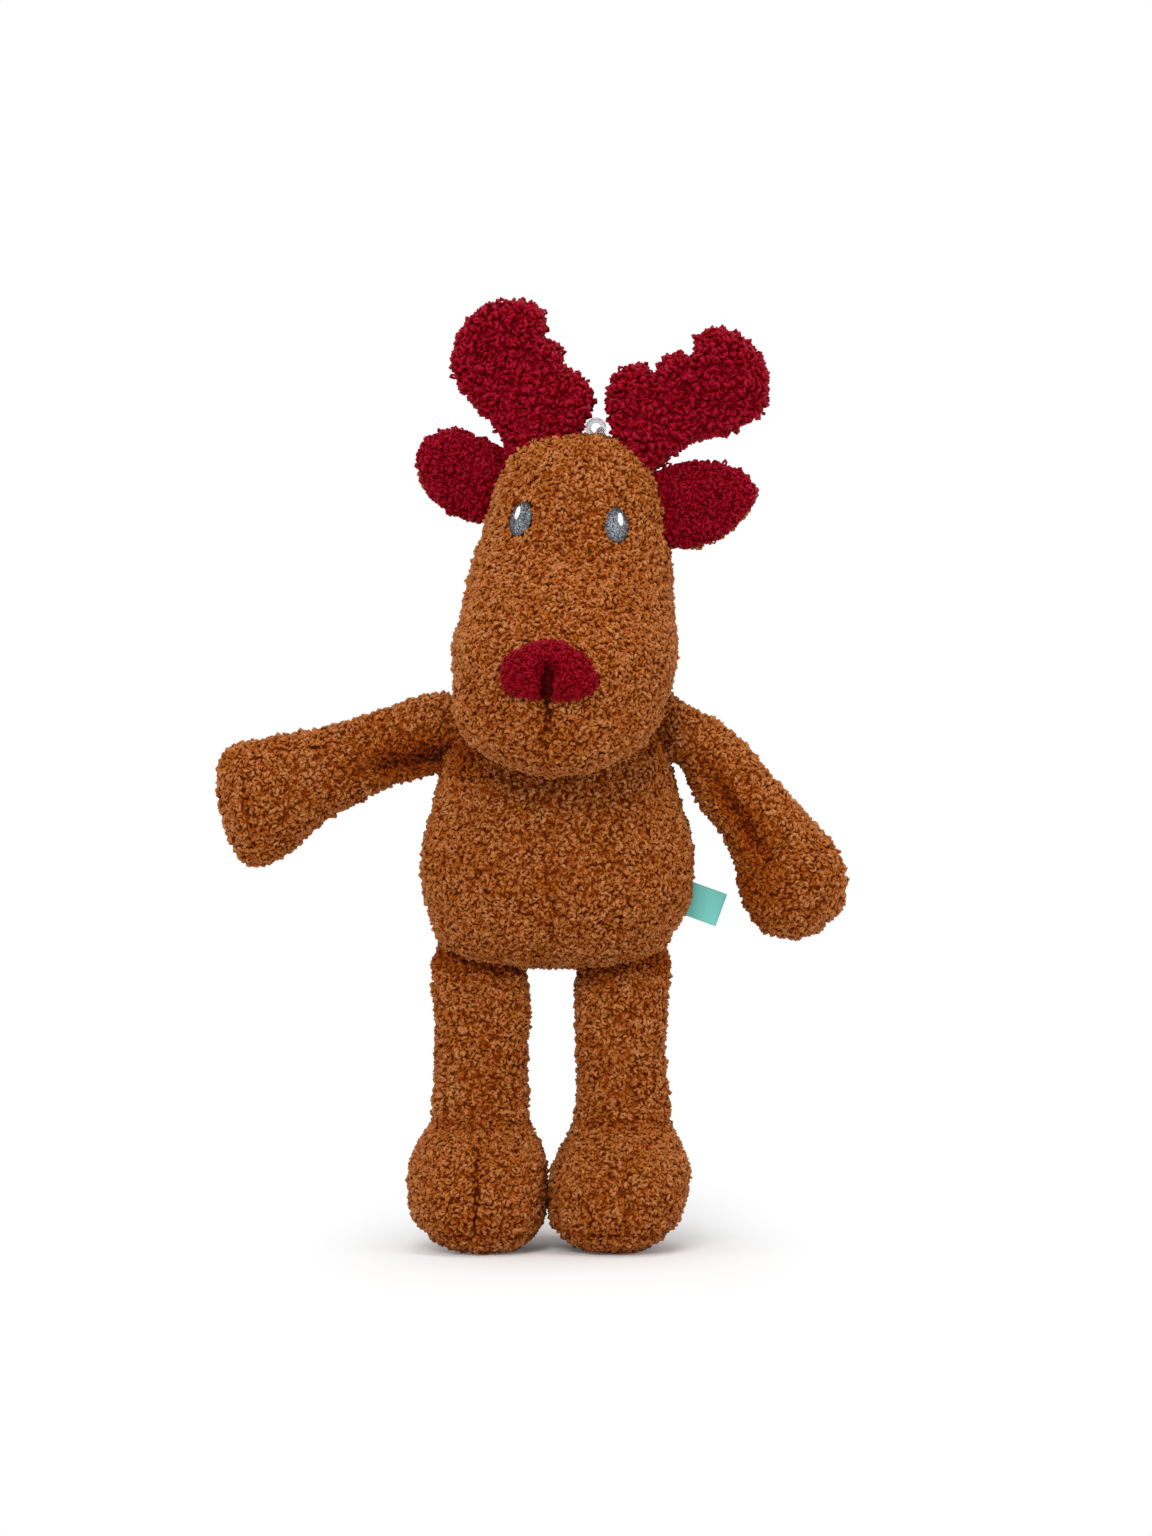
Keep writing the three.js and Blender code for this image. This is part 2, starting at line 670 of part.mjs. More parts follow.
// Ears: a wine front panel and a brown back panel, sewn edge to edge
function makeEar(side, sign) {
    const bag = new Bag(earLength, earWidth, earThickness, earShares, earFacets, -sign);
    const root = new THREE.Vector3(sign * earSpread / 2, 0, crown - earDrop);
    const lie = new THREE.Euler(0, sign * (Math.PI / 2 - radians(earRise[side])), 0);
    const frame = frameAt(headFrame, root, lie);
    const pull = new THREE.Matrix4().makeTranslation(0, 0, -earRoot);
    const room = sweptSpace(headSpace, placeIn(frame, headFrame), xAxis, earRange);
    const [front, back] = parted(solidOf(bag.outer(), pull).subtract(room), 1, 0);
    addPiece(frame, `${side}_ear_front`, front, winePile());
    addPiece(frame, `${side}_ear_back`, back, brownPile());
}

// Antlers: a palm with blunt tines, cut to an outline from two panels round a light filling.
// The palm is crowned about its fullest point, and the hollow is the same palm drawn in.
function palmSolid(shares, middleShares, drawnIn, inset, facets) {
    const [aside, up] = middleShares.map((share) => share * antlerLength);
    const points = closedOutline(shares, antlerLength, antlerLength, facets.outline);
    const outline = points.map(({ x, y }) => {
        return new THREE.Vector2(aside + drawnIn * (x - aside), up + drawnIn * (y - up));
    });
    const half = antlerDepth / 2 - inset;
    const palm = new THREE.ExtrudeGeometry(new THREE.Shape(outline), {
        depth: 2 * (half - antlerEdge),
        bevelThickness: antlerEdge,
        bevelSize: antlerEdge,
        bevelOffset: -antlerEdge,
        bevelSegments: facets.edge,
    });
    palm.translate(0, 0, antlerEdge - half).rotateX(Math.PI / 2);
    const crowned = new THREE.SphereGeometry(1, facets.sides, facets.rings);
    crowned.rotateX(Math.PI / 2);
    crowned.scale(antlerCrownShare * antlerLength, half, antlerCrownShare * antlerLength);
    crowned.translate(aside, 0, up);
    return solidOf(palm).intersect(solidOf(crowned));
}

function makeAntler(side, sign, shares, middleShares) {
    const frame = frameAt(headFrame, new THREE.Vector3(sign * antlerSpread / 2, 0, crown - antlerDrop));
    const room = sweptSpace(headSpace, placeIn(frame, headFrame), xAxis, antlerRange);
    const outer = palmSolid(shares, middleShares, 1, 0, antlerFacets);
    const hollow = palmSolid(shares, middleShares, antlerHollowShare, pileDepth, antlerHollowFacets);
    const inside = pileDepth + restGap;
    const drawnIn = antlerHollowShare - restGap / antlerEdge * (1 - antlerHollowShare);
    const filling = palmSolid(shares, middleShares, drawnIn, inside, antlerHollowFacets);
    const [front, back] = parted(outer.subtract(hollow).subtract(room), 1, 0);
    addPiece(frame, `${side}_antler_front`, front, winePile());
    addPiece(frame, `${side}_antler_back`, back, winePile());
    addPiece(frame, `${side}_antler_filling`, filling.subtract(room), whiteFibre());
}

// Hang loop: a clear bent wire rising from a round collar that rolls on the crown
function makeHangLoop() {
    const frame = frameAt(headFrame, new THREE.Vector3(loopAside, napeDepth, crown + loopRise));
    const bend = (loopGap + loopWire) / 2;
    const path = new THREE.CurvePath();
    path.add(new THREE.LineCurve3(new THREE.Vector3(-bend, 0, 0), new THREE.Vector3(-bend, 0, loopHeight)));
    const points = [];
    for (let step = 0; step <= wireFacets.bend; step++) {
        const angle = Math.PI * (1 - step / wireFacets.bend);
        points.push(new THREE.Vector3(bend * Math.cos(angle), 0, loopHeight + bend * Math.sin(angle)));
    }
    path.add(new THREE.CatmullRomCurve3(points));
    path.add(new THREE.LineCurve3(new THREE.Vector3(bend, 0, loopHeight), new THREE.Vector3(bend, 0, 0)));
    const section = new THREE.Shape();
    section.absarc(0, 0, loopWire / 2, 0, 2 * Math.PI);
    const { steps, sides } = wireFacets;
    const options = { steps, extrudePath: path, bevelEnabled: false, curveSegments: sides };
    const wire = solidOf(new THREE.ExtrudeGeometry(section, options));
    const collar = new THREE.SphereGeometry(1, collarFacets.sides, collarFacets.rings);
    collar.rotateZ(Math.PI / 2).scale(collarWidth / 2, collarHeight / 2, collarHeight / 2);
    addPiece(frame, 'hang_loop', wire.add(solidOf(collar)), clearPlastic());
}

// Arms: a front and a back panel round the filling, swinging up and down at the shoulder
function makeArm(side, sign, width, shares) {
    const bag = new Bag(armLength, width, armDepth, shares, armFacets, -sign);
    const shoulder = new THREE.Vector3(sign * shoulderSpread / 2, -shoulderAhead, torsoTop - shoulderDrop);
    const frame = frameAt(deer, shoulder, new THREE.Euler(0, sign * radians(90 + armPose[side]), 0));
    const upward = new THREE.Vector3(0, -sign, 0);
    let room = sweptSpace(torsoSpace, placeIn(frame, torsoFrame), upward, armRange[side]);
    for (const nod of [nodRange.low, 0, nodRange.high]) {
        const nodded = new THREE.Matrix4().makeRotationAxis(xAxis, radians(nod));
        const place = placeIn(frame, headFrame).multiply(nodded);
        room = room.add(sweptSpace(headSpace, place, upward, armRange[side]));
    }
    const { shell, filling } = bag.parts(armHollowShares, limbHollowFacets);
    const [front, back] = parted(shell.subtract(room), 1, 0);
    addPiece(frame, `${side}_arm_front_panel`, front, brownPile());
    addPiece(frame, `${side}_arm_back_panel`, back, brownPile());
    addPiece(frame, `${side}_arm_filling`, filling.subtract(room), whiteFibre());
}

// Legs: a tube of two panels, a foot of two panels and a flat sole, round one filling
function makeLeg(side, sign) {
    const bag = new Bag(legLength, footWidth, footDepth, legShares, legFacets, sign);
    const hip = new THREE.Vector3(hipAside + sign * hipSpread / 2, -hipAhead, legLength);
    const frame = frameAt(deer, hip);
    const forward = new THREE.Vector3(-1, 0, 0);
    const room = sweptSpace(torsoSpace, placeIn(frame, torsoFrame), forward, legRange);
    const drop = new THREE.Matrix4().makeTranslation(0, 0, -legLength);
    const { shell, filling } = bag.parts(legHollowShares, limbHollowFacets, drop);
    const [foot, tube] = parted(shell.subtract(room), 2, ankleHeight - legLength);
    const [sole, upper] = parted(foot, 2, soleSeamHeight - legLength);
    const [front, back] = parted(tube, 1, 0);
    const [rightHalf, leftHalf] = parted(upper, 0, 0);
    addPiece(frame, `${side}_leg_front_panel`, front, brownPile());
    addPiece(frame, `${side}_leg_back_panel`, back, brownPile());
    addPiece(frame, `${side}_foot_outer_panel`, sign > 0 ? leftHalf : rightHalf, brownPile());
    addPiece(frame, `${side}_foot_inner_panel`, sign > 0 ? rightHalf : leftHalf, brownPile());
    addPiece(frame, `${side}_sole`, sole, brownPile());
    addPiece(frame, `${side}_leg_filling`, filling.subtract(room), whiteFibre());
}

makeTorso();
makeHead();
makeFace();
makeLabel();
makeEar('right', -1);
makeEar('left', 1);
makeAntler('right', -1, rightAntlerOutlineShares, rightAntlerMiddleShares);
makeAntler('left', 1, leftAntlerOutlineShares, leftAntlerMiddleShares);
makeHangLoop();
makeArm('right', -1, armWidth, rightArmShares);
makeArm('left', 1, foldedArmWidth, leftArmShares);
makeLeg('right', -1);
makeLeg('left', 1);

// The origin lies on the floor, under the middle of the whole toy
const bounds = new THREE.Box3().setFromObject(deer, true);
const middle = bounds.getCenter(new THREE.Vector3());
deer.position.set(-middle.x, -middle.y, -bounds.min.z);

export default deer;
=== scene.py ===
# A plush deer in curly pile cloth, standing on its two feet.
# Sizes are millimetres in each piece's own frame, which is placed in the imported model's frame in metres.

import json
import math

import bpy
import numpy as np
from mathutils import Matrix, Vector


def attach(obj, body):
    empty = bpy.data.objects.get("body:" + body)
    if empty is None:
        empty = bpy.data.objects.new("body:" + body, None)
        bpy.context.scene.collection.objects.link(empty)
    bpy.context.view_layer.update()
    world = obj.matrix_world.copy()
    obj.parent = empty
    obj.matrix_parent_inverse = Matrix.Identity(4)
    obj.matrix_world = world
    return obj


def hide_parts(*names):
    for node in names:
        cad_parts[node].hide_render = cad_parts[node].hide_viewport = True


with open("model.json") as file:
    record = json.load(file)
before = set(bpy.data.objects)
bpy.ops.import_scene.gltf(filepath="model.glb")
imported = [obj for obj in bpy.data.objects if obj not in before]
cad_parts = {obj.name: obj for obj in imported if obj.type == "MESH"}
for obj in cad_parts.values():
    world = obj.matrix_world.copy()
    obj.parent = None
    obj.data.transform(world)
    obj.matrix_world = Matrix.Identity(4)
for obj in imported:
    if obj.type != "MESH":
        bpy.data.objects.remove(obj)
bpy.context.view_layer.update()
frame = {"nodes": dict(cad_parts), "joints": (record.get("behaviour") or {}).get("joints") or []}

MM = 0.001
TINY = 1e-9  # keeps divisions away from nought
joints = {joint["name"]: joint for joint in frame["joints"]}

# Head, hung on the neck
HEAD_TURN = 5.4  # degrees toward the toy's right
HEAD_LEAN = 3.7  # degrees toward the toy's left
HEAD_SIZE = (136.6, 90.0, 111.0)  # length, width, depth
CHIN_DROP = 30.2
CROWN = HEAD_SIZE[0] - CHIN_DROP
GUSSET_HALF = 23.0
BROW = CROWN - 46.4
NOSE_PLACE = 11.0
NOSE_SIZE = (38.4, 26.6)
NOSE_THICKNESS = 6.8
NOSE_HEM = 2.0
EYE_SIZE = (9.1, 14.0)
EYE_SPREAD = 38.4
EYE_SHIFT = -0.6
EYE_PLACE = CROWN - 35.8
EYE_LEAN = 12.0
GLINT_SIZE = (2.0, 5.3)
GLINT_PLACE = (1.9, 2.0)  # away from the nose and up, from its eye's middle

# Torso, whose frame stands at its lowest point
TORSO_SIZE = (107.0, 109.4, 87.0)
NECK_ASIDE = 3.3
NECK_AHEAD = 3.0

# Limbs
ARM_LENGTH = 95.0
ARM_DEPTH = 36.0
ARM_WIDTH = {"right": 47.0, "left": 42.6}
ARM_POSE = {"right": 20.0, "left": 60.0}  # degrees below the horizontal
LEG_SIZE = (116.4, 55.2, 64.6)
ANKLE = 51.5
SOLE_SEAM = 7.8
TOE_SEAM = 42.0
TOE_ASIDE = 0.03 * LEG_SIZE[1] / 2
TOE_DEPTH = {"right": 1.0, "left": 0.5}

# Ears and antlers
EAR_SIZE = (43.0, 34.0, 11.0)
EAR_ROOT = 5.0
EAR_RISE = {"right": 18.0, "left": 9.0}  # degrees above the horizontal
EAR_FRONT_END = 0.6  # how far behind the middle the front reaches
EAR_BACK_START = 0.4
EAR_BACK_SHIFT = 0.8  # outward, so that the back shows beside the front
ANTLER_LENGTH = 56.0
ANTLER_DEPTH = 17.0
ANTLER_ROUNDING = 8.0  # width of the rounded border
ANTLER_RIM_SHARE = 0.45  # of the depth, at the rim

# Slices of each stuffed bag, in percent: along the length, width, depth, aside and, where it isn't 0, ahead
TORSO_SHARES = [
    (-1.5, 0, 0, 0, 0),
    (-0.6, 33, 28, 0, 0),
    (2, 65, 51, -1, 0),
    (6.5, 81, 70, -2, 1),
    (13, 89, 85, -2, 2),
    (20, 94.5, 93, 0, 3),
    (28, 98.5, 99, 0, 4),
    (39, 100, 100, 0, 4),
    (51, 96, 95, 0, 3),
    (63, 89, 85, 0, 2),
    (72, 85, 75, 0, 2),
    (81, 81, 66, 0, 3),
    (90, 71, 56, 0, 4),
    (95.5, 55, 42, 0, 5),
    (98.8, 33, 25, 0, 5),
    (100, 0, 0, 0, 5),
]
HEAD_SHARES = [
    (0, 0, 0, 0, 84),
    (2, 32, 22, 0, 86),
    (5.5, 56, 34, 0, 86),
    (10, 76, 44, 0, 83),
    (16.3, 88, 54, 1, 77),
    (22.8, 92, 78, 1.5, 56),
    (29.4, 95.5, 92, 1.5, 43),
    (36.8, 98.5, 95, 1, 35),
    (44.1, 94, 92, 1.5, 26),
    (51.4, 91, 86, 0, 17),
    (58, 88.5, 78, 0, 9),
    (65.3, 85, 70, 0, 1),
    (71.9, 80, 65, 0, -3),
    (80, 76, 61, 0, -4),
    (87.7, 69, 54, 0, -5),
    (93.1, 60, 45, 0, -5),
    (97.5, 44, 31, 0, -5),
    (99.4, 24, 16, 0, -5),
    (100, 0, 0, 0, -5),
]
ARM_SHARES = {
    "right": [
        (-20, 0, 0, 0),
        (-19, 22, 22, 0),
        (-16, 40, 38, 0),
        (-6, 60, 54, 3),
        (7, 68, 70, 8),
        (22, 64, 72, 11),
        (38, 67, 76, 10),
        (50, 72, 82, 9),
        (60, 79, 90, 9),
        (70, 90, 97, 3),
        (78, 99, 100, 0),
        (86, 105, 95, 0),
        (92, 97, 80, -7),
        (96.5, 78, 55, -19),
        (99.5, 50, 30, -30),
        (100.5, 0, 0, -36),
    ],
    "left": [
        (-20, 0, 0, -5),
        (-19, 22, 22, -5),
        (-16, 38, 38, -3),
        (-6, 42, 50, 12),
        (5, 56, 66, 30),
        (15, 60, 72, 44),
        (23, 66, 75, 47),
        (34, 70, 80, 50),
        (46, 73, 88, 60),
        (55, 78, 95, 64),
        (64, 86, 100, 64),
        (74, 99, 100, 61),
        (84.5, 99, 95, 57),
        (93, 87, 75, 55),
        (101, 53, 40, 56),
        (104, 0, 0, 56),
    ],
}
# Along the length, depth and ahead, then width and aside of the right leg and of the left leg
LEG_SHARES = [
    (0, 0, 25, (0, -5), (0, -14)),
    (0.1, 30, 25, (25, -5), (25, -14)),
    (0.6, 55, 25, (42, -5), (42, -14)),
    (3.4, 80, 25, (68, -3), (64, -14)),
    (8.9, 95, 25, (89, 0), (89, -12)),
    (15, 100, 25, (98, 3), (98, -9)),
    (24, 98, 23, (100, 3), (102, -5)),
    (31, 90, 20, (97, 2), (95, -1)),
    (36.5, 77, 14, (88, 1), (83, 0)),
    (41, 64, 7, (78, 1), (75, 0)),
    (45, 56, 2, (71, 0), (70, 0)),
    (53, 53, 0, (68, -1), (66, 1)),
    (65, 53, 0, (67, -2), (63, -2)),
    (77, 52, 0, (68, -3), (65, -2)),
    (87, 48, 0, (69, -2), (67, -1)),
    (94, 40, 0, (69, 1), (68, 1)),
    (102, 28, 0, (64, 3), (64, 3)),
    (108, 14, 0, (46, 3), (46, 3)),
    (110, 0, 0, (0, 3), (0, 3)),
]
EAR_SHARES = {
    "right": [
        (-10, 0, 0, 9),
        (-9, 40, 12, 9),
        (-2, 60, 30, 9),
        (10, 78, 62, 8),
        (28, 90, 92, 8),
        (46, 95, 100, 10),
        (64, 91, 95, 14),
        (80, 78, 80, 20),
        (92, 52, 55, 24),
        (98.5, 24, 28, 26),
        (100, 0, 0, 26),
    ],
    "left": [
        (-10, 0, 0, -9),
        (-9, 40, 12, -9),
        (-2, 57, 30, -12),
        (10, 77, 62, -12),
        (28, 94, 92, -9),
        (46, 100, 100, -8),
        (64, 93, 95, -4),
        (80, 79, 80, 1),
        (93, 56, 58, 6),
        (103, 32, 34, 8),
        (109, 0, 0, 8),
    ],
}

# Outlines, in percent of a width and a height
ANTLER_OUTLINE_SHARES = {
    "right": [
        (-5, -20), (-22, 8), (-37, 23), (-52, 37), (-59, 56),
        (-55, 77), (-40, 94), (-12, 102), (2, 97), (5, 86),
        (5, 78), (17, 70), (21, 57), (37, 47), (43, 34),
        (37, 17), (20, -15),
    ],
    "left": [
        (-11, 2), (-18, 22), (-19, 42), (-12, 57), (3, 62),
        (12, 54), (17, 63), (27, 72), (38, 70), (41, 84),
        (57, 90), (80, 79), (92, 59), (90, 36), (68, 18),
        (40, 9), (17, -11), (2, -24),
    ],
}
NOSE_OUTLINE_SHARES = [
    (-2, 49), (-20, 41), (-38, 27), (-48, 10), (-48, -14),
    (-42, -32), (-25, -38), (-4, -40), (20, -38), (38, -31),
    (49, -14), (46, 7), (33, 28), (16, 42),
]

SLICE_ROUNDNESS = 2.2  # 2 is an ellipse, more is boxier
LOFT_RINGS = 90
LOFT_SIDES = 72

# Cloth and its bumps, at a scale of 1
VOXEL = 0.65
SWELL_SIZE, SWELL_HEIGHT = 11.0, 0.35
CLUMP_SIZE, CLUMP_HEIGHT = 4.2, 1.15
GRAIN_SIZE, GRAIN_HEIGHT = 1.5, 0.3
BEND_SIZE, BEND_SHIFT = 4.0, 1.5  # of the clumps' borders
LEVEL_CLUMP = 0.6  # the part of a clump that lies level with the form
SEAM_WIDTH = 1.2  # the same at every scale
SEAM_DEPTH = 1.7
SEAM_SMOOTHING = 0.75  # the part of the bumps that a seam takes away
SEAM_SHADE = 0.8  # painted shade: how much darker the cloth is in a seam's groove
BARE_DEPTH = 0.9  # where the nose and the eyes lie on the cloth
PAINTED_SHADE_STRENGTH = 0.75  # how much darker painted shade makes the cloth in armpits, folds, creases and under the belly

# Curls that stand on the cloth, at a scale of 1
CURL_SPACING = 1.55
CURL_POINTS = 5
CURL_SIDES = 4
CURL_TRIANGLES = 2 * CURL_SIDES * (CURL_POINTS - 1) + 2 * (CURL_SIDES - 2)
CURL_RADIUS = (0.85, 1.35)
CURL_SWEEP = (120, 250)  # degrees
CURL_THICKNESS = (0.55, 0.85)
CURL_TILT = 0.45
CURL_DIVE = 0.55  # of its ends, under the cloth
CURL_PAINTED_LIGHT = (1.0, 0.65, 0.3, 0.65)  # painted light and shade round a curl: how light its outer, side, inner and other side corner are
CURL_LIFTS = (0.35, 0.55, 0.15)  # at the least, and more with the clump and with the swell
CURL_TONE = 0.52  # painted shade: a curl's tone in a crevice, against 1 on a clump
CURL_SEAM_LOSS = 0.6  # how much lower curls are in a seam, and how much darker with painted shade
CURLS_FROM_CLUMP = (0.38, 0.3)  # least clump that carries curls, and how much chance lowers it
CURLS_TO_SEAM = (0.42, 0.15)  # deepest seam that carries curls, and how much chance raises it
CURLS_TO_BARE = 0.65
PIECE_TRIANGLES = 190000

SIGNS = {"right": -1, "left": 1}
HEAD_TURNS = ((HEAD_LEAN, "Y"), (-HEAD_TURN, "Z"))


def placed(joint, *turns):
    """The matrix from millimetres in a piece's frame, which starts at a joint, to metres in the model's."""
    place = Matrix.Translation(Vector(joints[joint]["pos_m"]))
    for angle, axis in turns:
        place = place @ Matrix.Rotation(math.radians(angle), 4, axis)
    return place @ Matrix.Scale(MM, 4)


# Smooth curves and lofts
def smooth_rows(rows, count, closed=False):
    """Rows of numbers read off a centripetal Catmull-Rom curve through the given ones."""
    rows = np.asarray(rows, float)
    if closed:
        rows = np.vstack([rows[-1:], rows, rows[:2]])
    else:
        rows = np.vstack([2 * rows[:1] - rows[1:2], rows, 2 * rows[-1:] - rows[-2:-1]])
    at = np.linspace(0, len(rows) - 3, count, endpoint=not closed)
    first = np.minimum(at.astype(int), len(rows) - 4)
    points = [rows[first + k] for k in range(4)]
    knots = [np.zeros(count)]
    for before, after in zip(points, points[1:]):
        knots.append(knots[-1] + np.sqrt(np.linalg.norm(after - before, axis=1)) + TINY)
    t = knots[1] + (knots[2] - knots[1]) * (at - first)

    def mixed(a, b, low, high):
        share = ((t - low) / (high - low))[:, None]
        return a * (1 - share) + b * share

    level = [mixed(points[k], points[k + 1], knots[k], knots[k + 1]) for k in range(3)]
    level = [mixed(level[k], level[k + 1], knots[k], knots[k + 2]) for k in range(2)]
    return mixed(level[0], level[1], knots[1], knots[2])


class Bag:
    """A stuffed bag: rounded slices along Z whose widths, depths and middles follow smooth curves."""

    def __init__(self, size, shares, mirror=1, base=0.0):
        length, width, depth = size
        full = [(*row, 0)[:5] for row in shares]  # a row may leave out its share ahead
        along, wide, deep, aside, ahead = np.array(full).T / 100
        radii = (wide * width / 2, deep * depth / 2)
        middles = (mirror * aside * width / 2, -ahead * depth / 2, along * length + base)
        self.slices = smooth_rows(np.column_stack([*radii, *middles]), LOFT_RINGS)

    def loft(self):
        angle = np.linspace(0, 2 * math.pi, LOFT_SIDES, endpoint=False)
        x = np.sign(np.cos(angle)) * np.abs(np.cos(angle)) ** (2 / SLICE_ROUNDNESS)
        y = np.sign(np.sin(angle)) * np.abs(np.sin(angle)) ** (2 / SLICE_ROUNDNESS)
        wide, deep, aside, ahead, height = (column[:, None] for column in self.slices[1:-1].T)
        rings = np.stack([aside + wide * x, ahead + deep * y, height + 0 * x], axis=2)
        start, end = self.slices[0, 2:5], self.slices[-1, 2:5]
        return stacked(rings, start, end)

    def front(self, x, z):
        """How far ahead the skin lies over places in X and Z."""
        *columns, height = self.slices.T
        wide, deep, aside, ahead = (np.interp(z, height, column) for column in columns)
        share = np.clip(np.abs(x - aside) / np.maximum(wide, TINY), 0, 1)
        return ahead - deep * (1 - share**SLICE_ROUNDNESS) ** (1 / SLICE_ROUNDNESS)


def stacked(rings, start, end):
    """Points and faces of a closed skin over a stack of rings."""
    count, sides = rings.shape[:2]
    points = np.vstack([rings.reshape(-1, 3), start, end])
    faces = []
    for side in range(sides):
        after = (side + 1) % sides
        for low in range(0, (count - 1) * sides, sides):
            faces.append((low + side, low + after, low + sides + after, low + sides + side))
        faces.append((count * sides, after, side))
        faces.append((count * sides + 1, (count - 1) * sides + side, (count - 1) * sides + after))
    return points, faces


def outline_points(shares, width, height, count):
    return smooth_rows(np.array(shares) / 100 * (width, height), count, closed=True)


def prism(outline, half):
    """Points and faces of a slab over an outline in X and Z."""
    count = len(outline)
    front = np.column_stack([outline[:, 0], np.full(count, -half), outline[:, 1]])
    back = front * (1, -1, 1)
    faces = [tuple(range(count)), tuple(range(2 * count - 1, count - 1, -1))]
    for side in range(count):
        after = (side + 1) % count
        faces.append((side, count + side, count + after, after))
    return np.vstack([front, back]), faces


# Noise on points, the same each run
CELL_FACTORS = (73856093, 19349663, 83492791)  # these and the next three only scramble
SEED_FACTOR = 6542989
SALT_FACTOR = 2654435769
MIX_FACTOR = 73244475
WORD = 0xFFFFFFFF
NOISE_GAIN = 1.6  # brings the noise to about -1 to 1
KNOT_JITTER = 0.7  # of a clump's middle in its cell
KNOT_GAIN = 1.8


def scrambled(cells, seed):
    """Three numbers from 0 to 1 for each whole-numbered cell."""
    x, y, z = (cells.astype(np.int64) * CELL_FACTORS).T
    mixed = x ^ y ^ z ^ seed * SEED_FACTOR
    drawn = []
    for salt in (1, 2, 3):
        value = (mixed + salt * SALT_FACTOR) & WORD
        for _ in range(2):
            value = ((value ^ (value >> 16)) * MIX_FACTOR) & WORD
        drawn.append((value ^ (value >> 16)) / WORD)
    return np.stack(drawn, axis=1)


def noise(points, size, seed):
    """Smooth gradient noise, about -1 to 1, whose features are about size across."""
    at = points / size
    low = np.floor(at)
    inside = at - low
    fade = inside**3 * (inside * (inside * 6 - 15) + 10)
    total = np.zeros(len(points))
    for corner in np.ndindex(2, 2, 2):
        slope = scrambled(low + corner, seed) * 2 - 1
        weight = np.prod(np.where(corner, fade, 1 - fade), axis=1)
        total += weight * np.sum(slope * (inside - corner), axis=1)
    return total * NOISE_GAIN


def warp(points, size, amount, seed):
    return points + amount * np.stack([noise(points, size, seed + k) for k in range(3)], axis=1)


def knots_of(points, size, seed):
    """How near each point is to the middle of its clump, 1 at the middle and 0 at the crevice."""
    at = points / size
    low = np.floor(at)
    nearest = np.full(len(points), math.inf)
    second = np.full(len(points), math.inf)
    for step in np.ndindex(3, 3, 3):
        cell = low + step - 1
        middle = cell + (1 - KNOT_JITTER) / 2 + KNOT_JITTER * scrambled(cell, seed)
        distance = np.linalg.norm(at - middle, axis=1)
        second = np.minimum(second, np.maximum(nearest, distance))
        nearest = np.minimum(nearest, distance)
    return np.clip((second - nearest) * KNOT_GAIN, 0, 1)


# Meshes
def new_mesh(name, points, faces):
    mesh = bpy.data.meshes.new(name)
    mesh.from_pydata(points, [], faces)
    mesh.validate()
    return mesh


def linked(name, data):
    made = bpy.data.objects.new(name, data)
    bpy.context.scene.collection.objects.link(made)
    return made


def joined(forms):
    points, faces, start = [], [], 0
    for form_points, form_faces in forms:
        points.append(form_points)
        faces += [tuple(start + corner for corner in face) for face in form_faces]
        start += len(form_points)
    return np.vstack(points), faces


def remeshed(forms, voxel, smoothing):
    """One even skin round overlapping closed forms."""
    body = linked("form", new_mesh("form", *joined(forms)))
    remesh = body.modifiers.new("even", "REMESH")
    remesh.mode = "VOXEL"
    remesh.voxel_size = voxel
    smooth = body.modifiers.new("smooth", "SMOOTH")
    smooth.factor = 0.5
    smooth.iterations = smoothing
    depsgraph = bpy.context.evaluated_depsgraph_get()
    mesh = bpy.data.meshes.new_from_object(body.evaluated_get(depsgraph))
    bpy.data.objects.remove(body)
    return mesh


def vectors(items, key):
    found = np.empty(len(items) * 3)
    items.foreach_get(key, found)
    return found.reshape(-1, 3)


def points_of(mesh):
    return vectors(mesh.vertices, "co")


def set_points(mesh, points):
    mesh.vertices.foreach_set("co", points.ravel())
    mesh.update()


def with_attributes(mesh, rest, **values):
    """Keeps each point's place at rest, in millimetres, and numbers that the materials read."""
    attribute = mesh.attributes.new("rest", "FLOAT_VECTOR", "POINT")
    attribute.data.foreach_set("vector", rest.astype(np.float32).ravel())
    for name, value in values.items():
        attribute = mesh.attributes.new(name, "FLOAT", "POINT")
        attribute.data.foreach_set("value", np.asarray(value, np.float32))


def shown(name, mesh, place, material, body, slot, replaced=()):
    """A piece of the object, placed, with its material, its body and the nodes that it stands for."""
    mesh.transform(place)
    mesh.shade_smooth()
    mesh.materials.clear()
    mesh.materials.append(material)
    piece = linked(name, mesh)
    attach(piece, body)
    if replaced:
        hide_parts(*replaced)
    return piece


